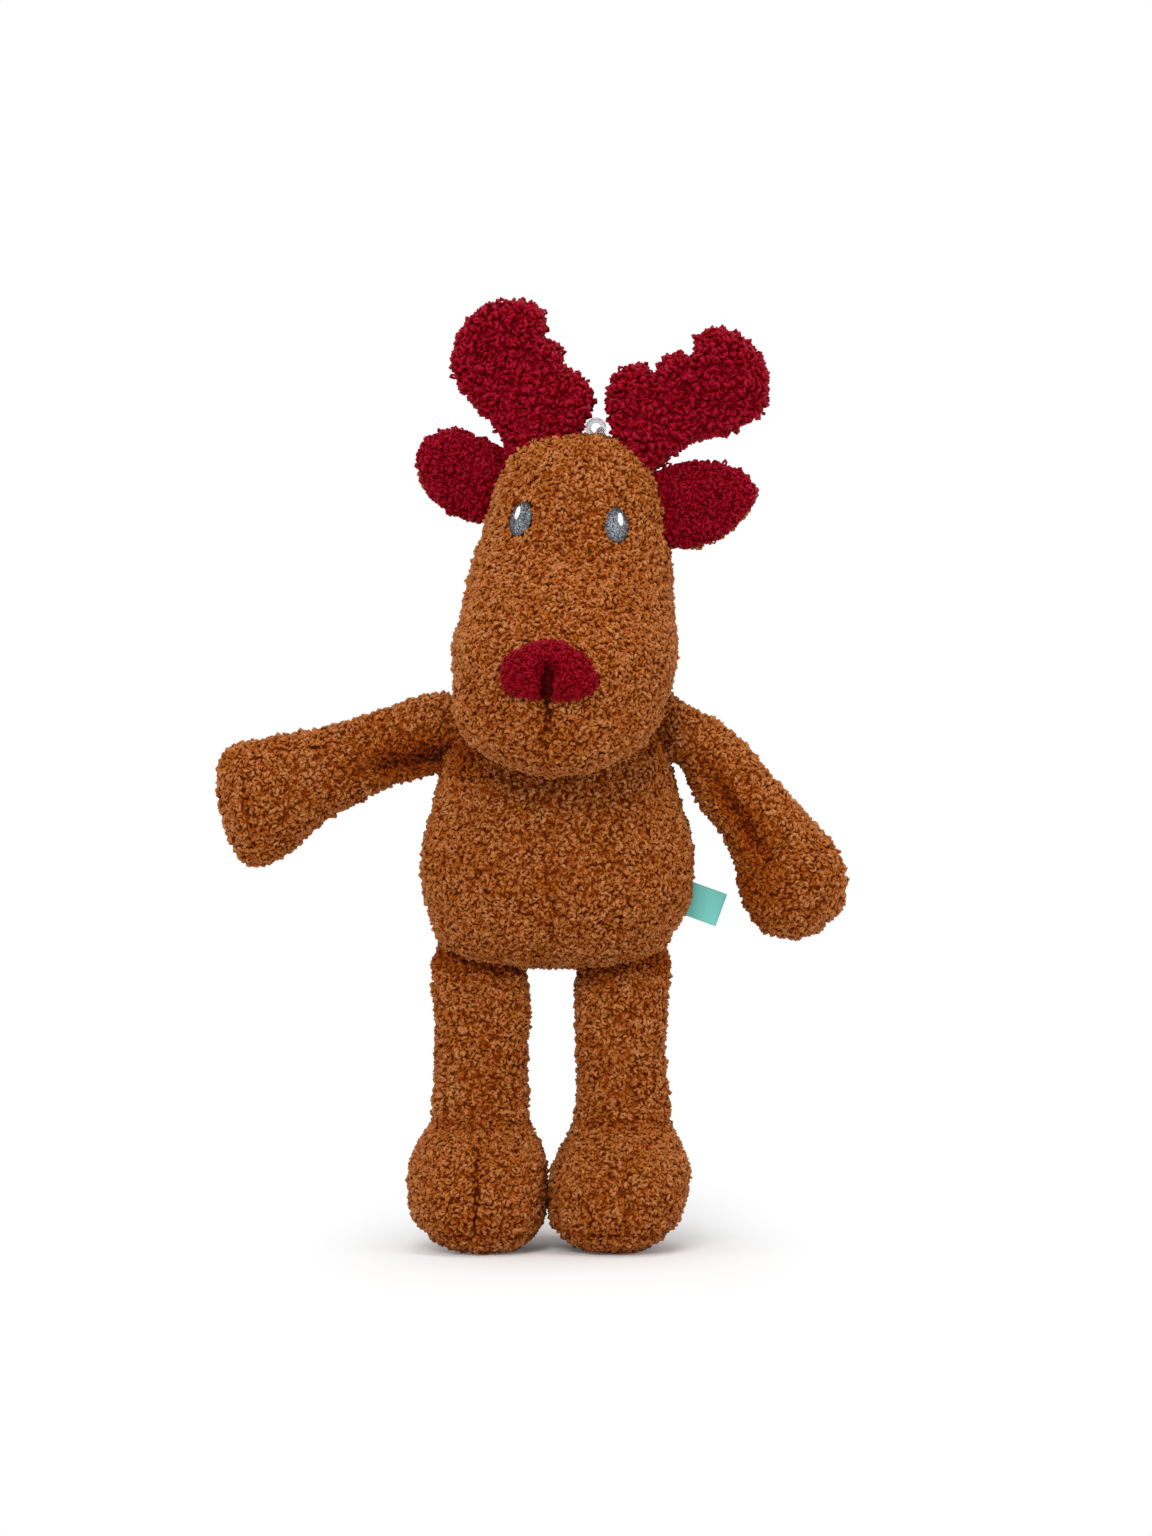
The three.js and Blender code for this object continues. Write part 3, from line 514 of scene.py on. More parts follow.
# Curls: short bent strands whose two ends dive into the cloth
def bent_strands(roots, normals, lift, scale, shag, random):
    """Points of one strand on each root, by strand, step along it, corner round it and axis."""
    count = len(roots)
    spin = random.uniform(0, 2 * math.pi, count)[:, None]
    helper = np.where(np.abs(normals[:, 2:]) < 0.8, (0.0, 0.0, 1.0), (1.0, 0.0, 0.0))
    first = np.cross(normals, helper)
    first /= np.linalg.norm(first, axis=1)[:, None]
    along = np.cos(spin) * first + np.sin(spin) * np.cross(normals, first)
    across = np.cross(normals, along)
    radius = scale * random.uniform(*CURL_RADIUS, count)[:, None]
    sweep = np.radians(random.uniform(*CURL_SWEEP, count))[:, None]
    rise = lift * random.uniform(0.7, 1.3, count) + shag * random.uniform(0, 1, count) ** 5
    thickness = scale * random.uniform(*CURL_THICKNESS, count)
    tilt = random.uniform(-CURL_TILT, CURL_TILT, (count, 2))

    shares = np.linspace(0, 1, CURL_POINTS)
    arch = np.sin(math.pi * shares)
    bow = np.cos(sweep * (shares - 0.5)) * radius
    side = np.sin(sweep * (shares - 0.5)) * radius
    height = rise[:, None] * arch**0.6 - CURL_DIVE * scale * (1 - arch)
    height = height + tilt[:, :1] * bow + tilt[:, 1:] * side
    centres = roots[:, None] + bow[:, :, None] * along[:, None] + side[:, :, None] * across[:, None]
    centres = centres + height[:, :, None] * normals[:, None]

    slopes = np.gradient(centres, axis=1)
    slopes /= np.linalg.norm(slopes, axis=2)[:, :, None]
    sideways = np.cross(slopes, normals[:, None, :])
    sideways /= np.maximum(np.linalg.norm(sideways, axis=2), TINY)[:, :, None]
    upward = np.cross(sideways, slopes)
    girth = thickness[:, None] * (0.6 + 0.4 * arch)
    girth = (girth * random.uniform(0.8, 1.2, girth.shape))[:, :, None]
    rings = []
    for corner in range(CURL_SIDES):
        angle = 2 * math.pi * corner / CURL_SIDES + math.pi / 2
        rings.append(centres + (math.cos(angle) * sideways + math.sin(angle) * upward) * girth)
    return np.stack(rings, axis=2)


def strand_mesh(name, points):
    """Closed tubes over points by strand, step, corner and axis."""
    count, steps, sides = points.shape[:3]
    corners = []
    for low in range(0, (steps - 1) * sides, sides):
        for side in range(sides):
            after = (side + 1) % sides
            corners.append((low + side, low + after, low + sides + after, low + sides + side))
    per_strand = steps * sides
    ends = [range(sides - 1, -1, -1), range(per_strand - sides, per_strand)]
    starts = np.arange(count)[:, None, None] * per_strand
    walls, caps = starts + np.array(corners), starts + np.array(ends)
    face_sizes = np.repeat((4, sides), (count * len(corners), count * len(ends)))
    mesh = bpy.data.meshes.new(name)
    mesh.vertices.add(count * per_strand)
    mesh.vertices.foreach_set("co", points.ravel())
    mesh.loops.add(walls.size + caps.size)
    mesh.loops.foreach_set("vertex_index", np.concatenate([walls.ravel(), caps.ravel()]))
    mesh.polygons.add(len(face_sizes))
    mesh.polygons.foreach_set("loop_start", np.cumsum(face_sizes) - face_sizes)
    mesh.update(calc_edges=True)
    return mesh


def curl_mesh(name, roots, normals, lift, tone, scale, shag, seed):
    random = np.random.default_rng(seed)
    points = bent_strands(roots, normals, lift, scale, shag, random)
    mesh = strand_mesh(name, points)
    shade = np.repeat(random.uniform(0, 1, len(roots)), CURL_POINTS * CURL_SIDES)
    # Painted light and shade: each curl is lightest at its arch's top and outer side, and darker at its
    # ends, which dive into the cloth, and on its inner side
    arch = np.sin(math.pi * np.linspace(0, 1, CURL_POINTS))[:, None]
    pile = (0.5 + 0.5 * arch * CURL_PAINTED_LIGHT) * tone[:, None, None]
    with_attributes(mesh, points.reshape(-1, 3), pile=pile.ravel(), shade=shade)
    return mesh


def spread_roots(points, spacing, seed):
    """One point for each cube of space that the skin passes through, drawn at random."""
    order = np.random.default_rng(seed).permutation(len(points))
    cubes = np.floor(points[order] / spacing).astype(np.int64)
    _, first = np.unique(cubes, axis=0, return_index=True)
    return np.sort(order[first])


def curl_roots(rest, clump, groove, smooth, scale, seed):
    """Points that carry a curl, in order round the piece: few in crevices and seams, none on bare cloth."""
    roots = spread_roots(rest, CURL_SPACING * scale, seed)
    chance = np.random.default_rng(seed + 5).uniform(0, 1, len(roots))
    kept = clump[roots] + CURLS_FROM_CLUMP[1] * chance > CURLS_FROM_CLUMP[0]
    kept &= groove[roots] < CURLS_TO_SEAM[0] + CURLS_TO_SEAM[1] * chance
    kept &= smooth[roots] < CURLS_TO_BARE
    roots = roots[kept]
    turn = np.arctan2(rest[roots, 1] - rest[:, 1].mean(), rest[roots, 0] - rest[:, 0].mean())
    return roots[np.argsort(turn, kind="stable")]


def nowhere(points):
    return np.zeros(len(points))


def unchanged(points):
    return points


def plush(name, body, place, forms, slot, replaced, seed, seams=nowhere, shape=unchanged, bare=nowhere,
          painted_shade=nowhere, scale=1.0, shag=0.8, inset=0.95, voxel=VOXEL, smoothing=6, floor=None):
    """A stuffed piece: the bumpy cloth, and the curls that stand on it."""
    mesh = remeshed(forms, voxel, smoothing)
    rest = shape(points_of(mesh))
    set_points(mesh, rest)
    normals = vectors(mesh.vertex_normals, "vector")
    groove, smooth, shadow = seams(rest), bare(rest), 1 - PAINTED_SHADE_STRENGTH * painted_shade(rest)
    soft = (1 - SEAM_SMOOTHING * groove) * (1 - smooth)
    swell = noise(rest, SWELL_SIZE * scale, seed)
    bent = warp(rest, BEND_SIZE * scale, BEND_SHIFT * scale, seed + 10)
    clump = np.sqrt(knots_of(bent, CLUMP_SIZE * scale, seed + 20))
    grain = noise(rest, GRAIN_SIZE * scale, seed + 30)
    bumps = CLUMP_HEIGHT * (clump - LEVEL_CLUMP) + GRAIN_HEIGHT * grain
    height = scale * (SWELL_HEIGHT * swell + bumps * soft)
    height -= SEAM_DEPTH * scale * groove + BARE_DEPTH * smooth + inset * scale
    skin = rest + normals * height[:, None]
    set_points(mesh, skin)
    # Painted shade: the cloth darkens in the crevices between clumps, in seams and under the painted shade
    # marks, with some random grain
    pile = np.clip(0.5 * clump * soft + 0.08 * grain, 0, 1) * (1 - SEAM_SHADE * groove) * shadow
    with_attributes(mesh, rest, pile=pile, shade=np.clip(0.5 + 0.5 * swell, 0, 1))
    pieces = [shown(name, mesh, place, PILES[slot], body, slot, replaced)]

    roots = curl_roots(rest, clump, groove, smooth, scale, seed + 40)
    parts = math.ceil(len(roots) * CURL_TRIANGLES / PIECE_TRIANGLES)
    for part, some in enumerate(np.array_split(roots, parts)):
        open_share = 1 - CURL_SEAM_LOSS * groove[some]
        least, with_clump, with_swell = CURL_LIFTS
        lift = scale * (least + with_clump * clump[some] + with_swell * swell[some]) * open_share
        # Painted shade on the curls: darker in crevices, in seams and under the painted shade marks
        tone = (CURL_TONE + (1 - CURL_TONE) * clump[some]) * open_share * shadow[some]
        label = f"{name}_curls_{part + 1}"
        curls = curl_mesh(label, skin[some], normals[some], lift, tone, scale, shag, seed + 50 + part)
        pieces.append(shown(label, curls, place, PILES[slot], body, slot))
    if floor is not None:
        for piece in pieces:
            points = points_of(piece.data)
            points[:, 2] = np.maximum(points[:, 2], floor)
            set_points(piece.data, points)


# Marks on a form, from 0 to their depth at each point
def near(distance, width):
    """1 on a line and 0 well away from it."""
    return np.exp(-((distance / width) ** 2))


def rising(value, soft):
    """0 well under nought and 1 well over it."""
    return 1 / (1 + np.exp(-value / soft))


def between(value, low, high, soft):
    """1 from low to high and 0 outside, with soft ends."""
    return rising(value - low, soft) * rising(high - value, soft)


def crease(across, along, width, ends, soft, depth=1.0):
    """A groove on the line where across is nought, with soft ends along it."""
    return depth * near(across, width) * between(along, *ends, soft)


def spots(points, places):
    """Round marks, each with its place aside and up, its width and its depth."""
    x, _, z = points.T
    return sum(depth * near(np.hypot(x - aside, z - up), width) for aside, up, width, depth in places)


def frontness(points, reach):
    """0 behind the middle, rising to 1 at a reach ahead of it."""
    return np.clip(-points[:, 1] / reach, 0, 1)


def pushed_back(points, depth):
    points = points.copy()
    points[:, 1] += depth
    return points


# Materials
def node(tree, kind, inputs=None, **settings):
    made = tree.nodes.new(f"ShaderNode{kind}")
    for key, value in settings.items():
        setattr(made, key, value)
    for key, value in (inputs or {}).items():
        if isinstance(value, bpy.types.NodeSocket):
            tree.links.new(value, made.inputs[key])
        else:
            made.inputs[key].default_value = value
    return made


def maths(tree, operation, a, b):
    return node(tree, "Math", {0: a, 1: b}, operation=operation).outputs[0]


def attribute(tree, name, output="Fac"):
    return node(tree, "Attribute", attribute_name=name).outputs[output]


def bumped(tree, height, strength, distance):
    inputs = {"Strength": strength, "Distance": distance, "Height": height}
    return node(tree, "Bump", inputs).outputs["Normal"]


def new_material(name):
    material = bpy.data.materials.new(name)
    material.use_nodes = True
    material.node_tree.nodes.clear()
    return material, material.node_tree


def with_surface(material, shader, inputs):
    tree = material.node_tree
    skin = node(tree, shader, inputs)
    node(tree, "OutputMaterial", {"Surface": skin.outputs[0]})
    return material


def linear(colour):
    """An sRGB colour of 0 to 255 as the linear light that Blender mixes."""
    shares = [channel / 255 for channel in colour]
    return [s / 12.92 if s <= 0.04045 else ((s + 0.055) / 1.055) ** 2.4 for s in shares]


def mixed_colour(first, second, share):
    return [a + (b - a) * share for a, b in zip(first, second)]


def ramp(tree, value, stops):
    made = node(tree, "ValToRGB", {"Fac": value})
    elements = made.color_ramp.elements
    while len(elements) < len(stops):
        elements.new(0.5)
    for element, (place, colour) in zip(elements, stops):
        element.position = place
        element.color = (*linear(colour), 1)
    return made.outputs["Color"]


def pile_material(name, colours, glint, sheen):
    """Curly pile whose colours run from painted shade in its creases to painted light on its tips, with
    random tone from fibre noise.
    """
    material, tree = new_material(name)
    rest = attribute(tree, "rest", "Vector")
    fine = {"Vector": rest, "Scale": 1.9, "Detail": 3.0, "Roughness": 0.65}
    fibre = node(tree, "TexNoise", fine).outputs["Fac"]
    broad = node(tree, "TexNoise", {"Vector": rest, "Scale": 0.06, "Detail": 2.0}).outputs["Fac"]
    # Tone: painted shade and light from the pile attribute, with random tone from the shade attribute and
    # the noises
    tone = maths(tree, "MULTIPLY", attribute(tree, "pile"), 0.85)
    for value, weight in ((attribute(tree, "shade"), 0.2), (fibre, 0.9), (broad, 0.2)):
        tone = maths(tree, "ADD", tone, maths(tree, "MULTIPLY", value, weight))
    tone = maths(tree, "SUBTRACT", tone, 0.62)
    return with_surface(material, "BsdfPrincipled", {
        "Base Color": ramp(tree, tone, list(zip((0.0, 0.05, 0.25, 0.55, 1.0), colours))),
        "Roughness": 0.46,
        "Specular IOR Level": 0.34,
        "Specular Tint": (*linear(glint), 1),
        "Sheen Weight": sheen,
        "Sheen Roughness": 0.5,
        "Sheen Tint": (*linear(glint), 1),
        "Normal": bumped(tree, fibre, strength=0.6, distance=0.0004),
    })


def thread_material(name, dark, light, metallic, roughness):
    """Thread with specks from dark to light, and a darker rim."""
    material, tree = new_material(name)
    specks = node(tree, "TexVoronoi", {"Vector": attribute(tree, "rest", "Vector"), "Scale": 2.4})
    drawn = node(tree, "SeparateColor", {"Color": specks.outputs["Color"]}).outputs[0]
    drawn = maths(tree, "SUBTRACT", drawn, maths(tree, "MULTIPLY", attribute(tree, "edge"), 0.45))
    stops = [(0.0, dark), (0.45, mixed_colour(dark, light, 0.4)), (0.8, light), (1.0, light)]
    return with_surface(material, "BsdfPrincipled", {
        "Base Color": ramp(tree, drawn, stops),
        "Metallic": metallic,
        "Roughness": roughness,
        "Normal": bumped(tree, drawn, strength=0.5, distance=0.0002),
    })


def ribbon_material():
    material, tree = new_material("mint_ribbon")
    inputs = {"Vector": attribute(tree, "rest", "Vector"), "Scale": 0.9, "Distortion": 0.6, "Detail": 1.0}
    weave = node(tree, "TexWave", inputs, bands_direction="Z").outputs["Fac"]
    return with_surface(material, "BsdfPrincipled", {
        "Base Color": ramp(tree, weave, [(0.0, (104, 196, 186)), (1.0, (132, 214, 205))]),
        "Roughness": 0.6,
        "Specular IOR Level": 0.3,
        "Normal": bumped(tree, weave, strength=0.25, distance=0.0002),
    })


def clear_material():
    material, _ = new_material("clear_plastic")
    return with_surface(material, "BsdfPrincipled", {
        "Base Color": (0.96, 0.93, 0.94, 1),
        "Roughness": 0.12,
        "IOR": 1.4,
        "Transmission Weight": 0.72,
    })


# Pile colours from painted shade in creases (first) through the cloth's own colours to painted light on
# tips (last)
BROWNS = [(24, 2, 0), (68, 5, 0), (127, 41, 0), (151, 74, 11), (199, 134, 84)]
WINES = [(8, 0, 0), (82, 0, 4), (114, 0, 10), (136, 4, 22), (160, 20, 45)]
PILES = {
    "brown_pile": pile_material("brown_pile", BROWNS, glint=(255, 180, 100), sheen=0.14),
    "wine_pile": pile_material("wine_pile", WINES, glint=(255, 70, 90), sheen=0.06),
}
SILVER = thread_material("silver_thread", (20, 23, 30), (146, 149, 158), metallic=0.2, roughness=0.55)
WHITE = thread_material("white_thread", (225, 226, 230), (250, 250, 252), metallic=0.0, roughness=0.5)
MINT = ribbon_material()
CLEAR = clear_material()


# Torso, whose marks are aside, up, width and depth
DIMPLES = ((-1, 26, 3.4, 1.8), (-2, 13, 3, 1.8))  # where the front seam pulls the belly in
# painted shade where the arms meet the torso
ARMPITS = ((-37, 85, 7, 0.8), (36, 89, 6, 0.5))
FRONT_SEAM = -1.5  # aside


def build_torso():
    place = placed("neck_nod") @ Matrix.Translation(Vector((-NECK_ASIDE, NECK_AHEAD, -TORSO_SIZE[0])))
    nodes = [n for n in frame["nodes"] if n.startswith("torso_")]

    def shape(points):
        return pushed_back(points, spots(points, DIMPLES) * (points[:, 1] < 0))

    def seams(points):
        x, y, z = points.T
        middle = near(x - FRONT_SEAM, SEAM_WIDTH) * (0.12 + 0.36 * between(z, 5, 30, 1.5))
        return np.clip(np.where(y < 0, middle, 0.4 * near(x, SEAM_WIDTH)) + 0.4 * near(y, SEAM_WIDTH), 0, 1)

    # Painted shade on the torso's front, in the armpits
    def painted_shade(points):
        return spots(points, ARMPITS) * (points[:, 1] < 4)

    plush("torso_plush", "torso", place, [Bag(TORSO_SIZE, TORSO_SHARES).loft()], "brown_pile", nodes, 100,
          seams=seams, shape=shape, painted_shade=painted_shade)


# Head, with bare cloth under the eyes and the nose
EYE_BARE = 1.04  # its border, as a share of the eye's half size
NOSE_BARE = (0.42, 0.36)  # out from the middle, of the nose's width and height
BARE_SOFT = 1 / 14
HEAD_BAG = Bag(HEAD_SIZE, HEAD_SHARES, base=-CHIN_DROP)
HEAD_PLACE = placed("neck_nod", *HEAD_TURNS)


def eye_distance(points, side):
    """How far out each point lies from an eye's middle, 1 at its edge."""
    lean = math.radians(-SIGNS[side] * EYE_LEAN)
    x = points[:, 0] - EYE_SHIFT - SIGNS[side] * EYE_SPREAD / 2
    z = points[:, 2] - EYE_PLACE
    across = x * math.cos(lean) - z * math.sin(lean)
    upward = x * math.sin(lean) + z * math.cos(lean)
    return np.hypot(across / (EYE_SIZE[0] / 2), upward / (EYE_SIZE[1] / 2))


def build_head():
    nodes = [n for n in frame["nodes"] if n.startswith("head_")] + ["muzzle_top_panel", "forehead_panel"]

    def shape(points):
        x, _, z = points.T
        brow = crease(z - BROW + 3, x, width=6, ends=(-17, 17), soft=4, depth=2.8)
        chin = crease(x, z, width=4, ends=(-24, NOSE_PLACE - 8), soft=3, depth=1.6)
        return pushed_back(points, (brow + chin) * frontness(points, 20))

    def seams(points):
        x, y, z = points.T
        brow = crease(z - BROW, x, width=1.4, ends=(-GUSSET_HALF, GUSSET_HALF), soft=2, depth=0.3) * (y < 0)
        gusset = 0.15 * near(np.abs(x) - GUSSET_HALF, 1.3) * (z > BROW)
        chin = near(x, SEAM_WIDTH) * (z < NOSE_PLACE) * (y < 0) * np.clip(1 + z / 26, 0.3, 1)
        return np.clip(brow + gusset + chin, 0, 1)

    def bare(points):
        x, y, z = points.T
        wide, high = np.array(NOSE_BARE) * NOSE_SIZE
        nose = 1 - np.hypot(x / wide, (z - NOSE_PLACE) / high)
        eyes = [EYE_BARE - eye_distance(points, side) for side in SIGNS]
        return rising(np.max([nose, *eyes], axis=0), BARE_SOFT) * (y < 0)

    plush("head_plush", "head", HEAD_PLACE, [HEAD_BAG.loft()], "brown_pile", nodes, 200,
          seams=seams, shape=shape, bare=bare)


# Nose, with a pulled-in middle under an arch
NOSE_ARCH = 4.6
# darkens the whole nose's cloth by this share; its middle crease adds painted shade up to the full
# darkening
NOSE_SHADE = 0.36


def build_nose():
    outline = outline_points(NOSE_OUTLINE_SHARES, *NOSE_SIZE, 60)

    def ring(share, lift):
        x, z = share * outline[:, 0], NOSE_PLACE + share * outline[:, 1]
        return np.column_stack([x, HEAD_BAG.front(x, z) - lift, z])

    rings = [ring(1.0, -NOSE_HEM)]
    for share in np.cos(np.linspace(0, math.pi / 2, 12))[:-1]:
        rings.append(ring(share, NOSE_HEM + (NOSE_THICKNESS - NOSE_HEM) * math.sqrt(1 - share**2)))
    tip = float(HEAD_BAG.front(0.0, NOSE_PLACE))
    solid = stacked(np.array(rings), (0, tip + NOSE_HEM, NOSE_PLACE), (0, tip - NOSE_THICKNESS, NOSE_PLACE))

    def shape(points):
        x, _, z = points.T
        width = 2.2 + 2.4 * rising(z - NOSE_PLACE + 1, 1.5)
        middle = crease(x, z, width, ends=(-math.inf, NOSE_PLACE + 4), soft=1.1, depth=5.6)
        return pushed_back(points, middle)

    def seams(points):
        x, _, z = points.T
        middle = crease(x, z, width=2.2, ends=(-math.inf, NOSE_PLACE + 2.2), soft=0.9)
        round_arch = np.hypot(x, z - NOSE_PLACE) - NOSE_ARCH
        arch = crease(round_arch, z, width=1.2, ends=(NOSE_PLACE - 2, math.inf), soft=0.8, depth=0.3)
        return np.clip(middle + arch, 0, 1)

    # Darkening of the whole nose, with painted shade in its middle crease
    def painted_shade(points):
        x, _, z = points.T
        ends = (-math.inf, NOSE_PLACE + 2.6)
        return NOSE_SHADE + crease(x, z, width=2.6, ends=ends, soft=0.9, depth=1 - NOSE_SHADE)

    plush("nose_plush", "head", HEAD_PLACE, [solid], "wine_pile", ["nose_patch"], 300,
          shape=shape, seams=seams, painted_shade=painted_shade, scale=0.8, shag=0.5, voxel=0.5, smoothing=3)


# Eyes, stitched in rows of glittering thread
EYE_HEM = 1.8
STITCH_DEPTH = 0.13


def build_eye(side, seed):
    sign = SIGNS[side]
    lean = math.radians(-sign * EYE_LEAN)
    turns = np.linspace(0, 2 * math.pi, 120, endpoint=False)
    shares = np.concatenate([[1.0, 1.0], np.cos(np.linspace(0, math.pi / 2, 40))[1:-1]])

    def patch(name, size, aside, up, low, high, pitch, material, slot, replaced):
        """An oval dome of thread from a low rim to a high middle. Its first ring is the hem under it."""
        rings, flat, edge = [], [], []
        for index, share in enumerate(shares):
            across = aside + share * size[0] / 2 * np.cos(turns)
            upward = up + share * size[1] / 2 * np.sin(turns)
            x = EYE_SHIFT + sign * EYE_SPREAD / 2 + across * math.cos(lean) + upward * math.sin(lean)
            z = EYE_PLACE - across * math.sin(lean) + upward * math.cos(lean)
            lift = low + (high - low) * math.sqrt(1 - share**2)
            lift = lift + STITCH_DEPTH * np.abs(np.sin(math.pi * upward / pitch))
            rings.append(np.column_stack([x, HEAD_BAG.front(x, z) - (lift if index else -EYE_HEM), z]))
            flat.append(np.column_stack([across, 0 * x, upward]))
            edge.append(np.full(len(turns), share**3))
        middle = rings[-1].mean(axis=0)
        points, faces = stacked(np.array(rings), middle + (0, high + EYE_HEM, 0), middle)
        mesh = new_mesh(name, points, faces)
        spread = np.vstack([*flat, [[aside, 0, up]] * 2])
        with_attributes(mesh, spread + seed, edge=np.concatenate([*edge, [1, 0]]))
        shown(name, mesh, HEAD_PLACE, material, "head", slot, [replaced])

    patch(f"{side}_eye_stitches", EYE_SIZE, aside=0, up=0, low=-0.5, high=0.35, pitch=0.55,
          material=SILVER, slot="grey_thread", replaced=f"{side}_eye")
    aside, up = GLINT_PLACE
    patch(f"{side}_eye_glint_stitches", GLINT_SIZE, sign * aside, up, low=0.3, high=0.75, pitch=0.45,
          material=WHITE, slot="white_thread", replaced=f"{side}_eye_glint")


# Side label, a ribbon folded in two and sewn in the side seam
LABEL_SIZE = (14.8, 13.7)  # folded length, width
LABEL_TILT = 20.0
LABEL_SHIFT = (-1.6, -3.0)  # out from its hinge and up along it, to the middle of its sewn end
LABEL_HEM = 3.0  # inside the seam
LABEL_BOW, LABEL_RIPPLE = 0.5, 0.25
RIBBON = 0.45
FOLD_GAP = 0.7


def ribbon_path():
    """The ribbon's middle line from hem to hem, seen from above, and its way outward at each point."""
    turn = np.linspace(-math.pi / 2, math.pi / 2, 13)[1:-1]
    radius = (FOLD_GAP + RIBBON) / 2
    fold = LABEL_SIZE[0] + LABEL_SHIFT[0] - 0.1 - radius
    straight = np.linspace(-LABEL_HEM, fold, 26)
    path_x = np.concatenate([straight, fold + radius * np.cos(turn), straight[::-1]])
    path_y = np.concatenate([0 * straight - radius, radius * np.sin(turn), 0 * straight + radius])
    path = np.column_stack([path_x, path_y])
    slope = np.gradient(path, axis=0)
    slope /= np.linalg.norm(slope, axis=1)[:, None]
    return path, np.column_stack([slope[:, 1], -slope[:, 0]])


def build_label():
    length, width = LABEL_SIZE
    path, outward = ribbon_path()
    heights = np.linspace(-width / 2, width / 2, 30) + LABEL_SHIFT[1]
    layers = []
    for side in (1, -1):
        edge = path + side * RIBBON / 2 * outward
        x, z = np.meshgrid(edge[:, 0], heights, indexing="ij")
        bow = LABEL_BOW * np.sin((x + LABEL_HEM) / length * 2.6) + LABEL_RIPPLE * np.sin(z / 4.5 + 1)
        layers.append(np.stack([x, edge[:, 1:] + bow, z], axis=2).reshape(-1, 3))
    points = np.vstack(layers)

    count, rows = len(path), len(heights)
    back = count * rows
    faces = []

    def wall(first, second, flip):
        face = (first, second, back + second, back + first)
        faces.append(face[::-1] if flip else face)

    for low in range(0, back - rows, rows):
        for a in range(low, low + rows - 1):
            b = a + rows
            faces.append((a, a + 1, b + 1, b))
            faces.append((back + a, back + b, back + b + 1, back + a + 1))
        wall(low, low + rows, flip=False)
        wall(low + rows - 1, low + 2 * rows - 1, flip=True)
    for a in range(rows - 1):
        wall(a, a + 1, flip=False)
        wall(back - rows + a, back - rows + a + 1, flip=True)
    mesh = new_mesh("side_label_ribbon", points, faces)
    with_attributes(mesh, points)
    place = placed("side_label_flap", (LABEL_TILT, "Y"))
    ribbon = shown("side_label_ribbon", mesh, place, MINT, "side_label", "mint_ribbon", ["side_label"])


# Hang loop, a clear ring with a ball and a stem at its foot, placed aside, behind its hinge and up
RING = (3.2, 1.15)  # radii of the ring and of its wire
RING_TURN = 12.0
RING_PLACE = (28.6, 0.0, 330.9)
BALL_RADIUS = 1.7
BALL_PLACE = (30.4, -2.4, 329.6)
STEM = (1.5, 2.2)  # radius and stretch
STEM_PLACE = (29.6, -0.8, 327.4)


def torus(centre, radius, wire, turn):
    rings, around = 64, 20
    ahead, across = math.cos(turn), math.sin(turn)
    points, faces = [], []
    for i in range(rings):
        a = 2 * math.pi * i / rings
        for j in range(around):
            b = 2 * math.pi * j / around
            out = radius + wire * math.cos(b)
            x, y, z = out * math.cos(a), wire * math.sin(b), out * math.sin(a)
            points.append((x * ahead - y * across, x * across + y * ahead, z))
            after, beyond = (i + 1) % rings, (j + 1) % around
            corners = (i * around + j, after * around + j, after * around + beyond, i * around + beyond)
            faces.append(corners[::-1])
    return np.array(points) + centre, faces


def ball(centre, radius, stretch=1.0):
    rise = np.linspace(-math.pi / 2, math.pi / 2, 25)[1:-1, None]
    turn = np.linspace(0, 2 * math.pi, 32, endpoint=False)
    x, y = np.cos(rise) * np.cos(turn), np.cos(rise) * np.sin(turn)
    rings = np.stack([x, y, 0 * x + stretch * np.sin(rise)], axis=2)
    points, faces = stacked(rings, (0, 0, -stretch), (0, 0, stretch))
    return points * radius + centre, faces


def build_loop():
    hinge = np.array((0, joints["hang_loop_tilt"]["pos_m"][1] / MM, 0))
    forms = [
        torus(hinge + RING_PLACE, *RING, math.radians(RING_TURN)),
        ball(hinge + BALL_PLACE, BALL_RADIUS),
        ball(hinge + STEM_PLACE, *STEM),
    ]
    mesh = remeshed(forms, 0.25, 4)
    with_attributes(mesh, points_of(mesh))
    shown("hang_loop_moulding", mesh, Matrix.Scale(MM, 4), CLEAR, "hang_loop", "clear_plastic",
          ["hang_loop"])


# Ears, flat, with a wine front on a brown back
def build_ear(side, seed):
    sign = SIGNS[side]
    bag = Bag(EAR_SIZE, EAR_SHARES[side], mirror=-sign, base=-EAR_ROOT)
    place = placed(f"{side}_ear_flap", *HEAD_TURNS, (sign * (90 - EAR_RISE[side]), "Y"))
    points, faces = bag.loft()
    front, back = points.copy(), points.copy()
    front[:, 1] = np.minimum(front[:, 1], EAR_FRONT_END)
    back[:, 1] = np.maximum(back[:, 1], EAR_BACK_START)
    back[:, 0] += sign * EAR_BACK_SHIFT
    layers = (("front", front, "wine_pile", 1.6), ("back", back, "brown_pile", 1.0))
    for index, (layer, form, pile, shag) in enumerate(layers):
        panel = f"{side}_ear_{layer}"
        plush(f"{panel}_plush", f"{side}_ear", place, [(form, faces)], pile, [panel], seed + 60 * index,
              scale=0.9, shag=shag, inset=1.1, voxel=0.55, smoothing=3)


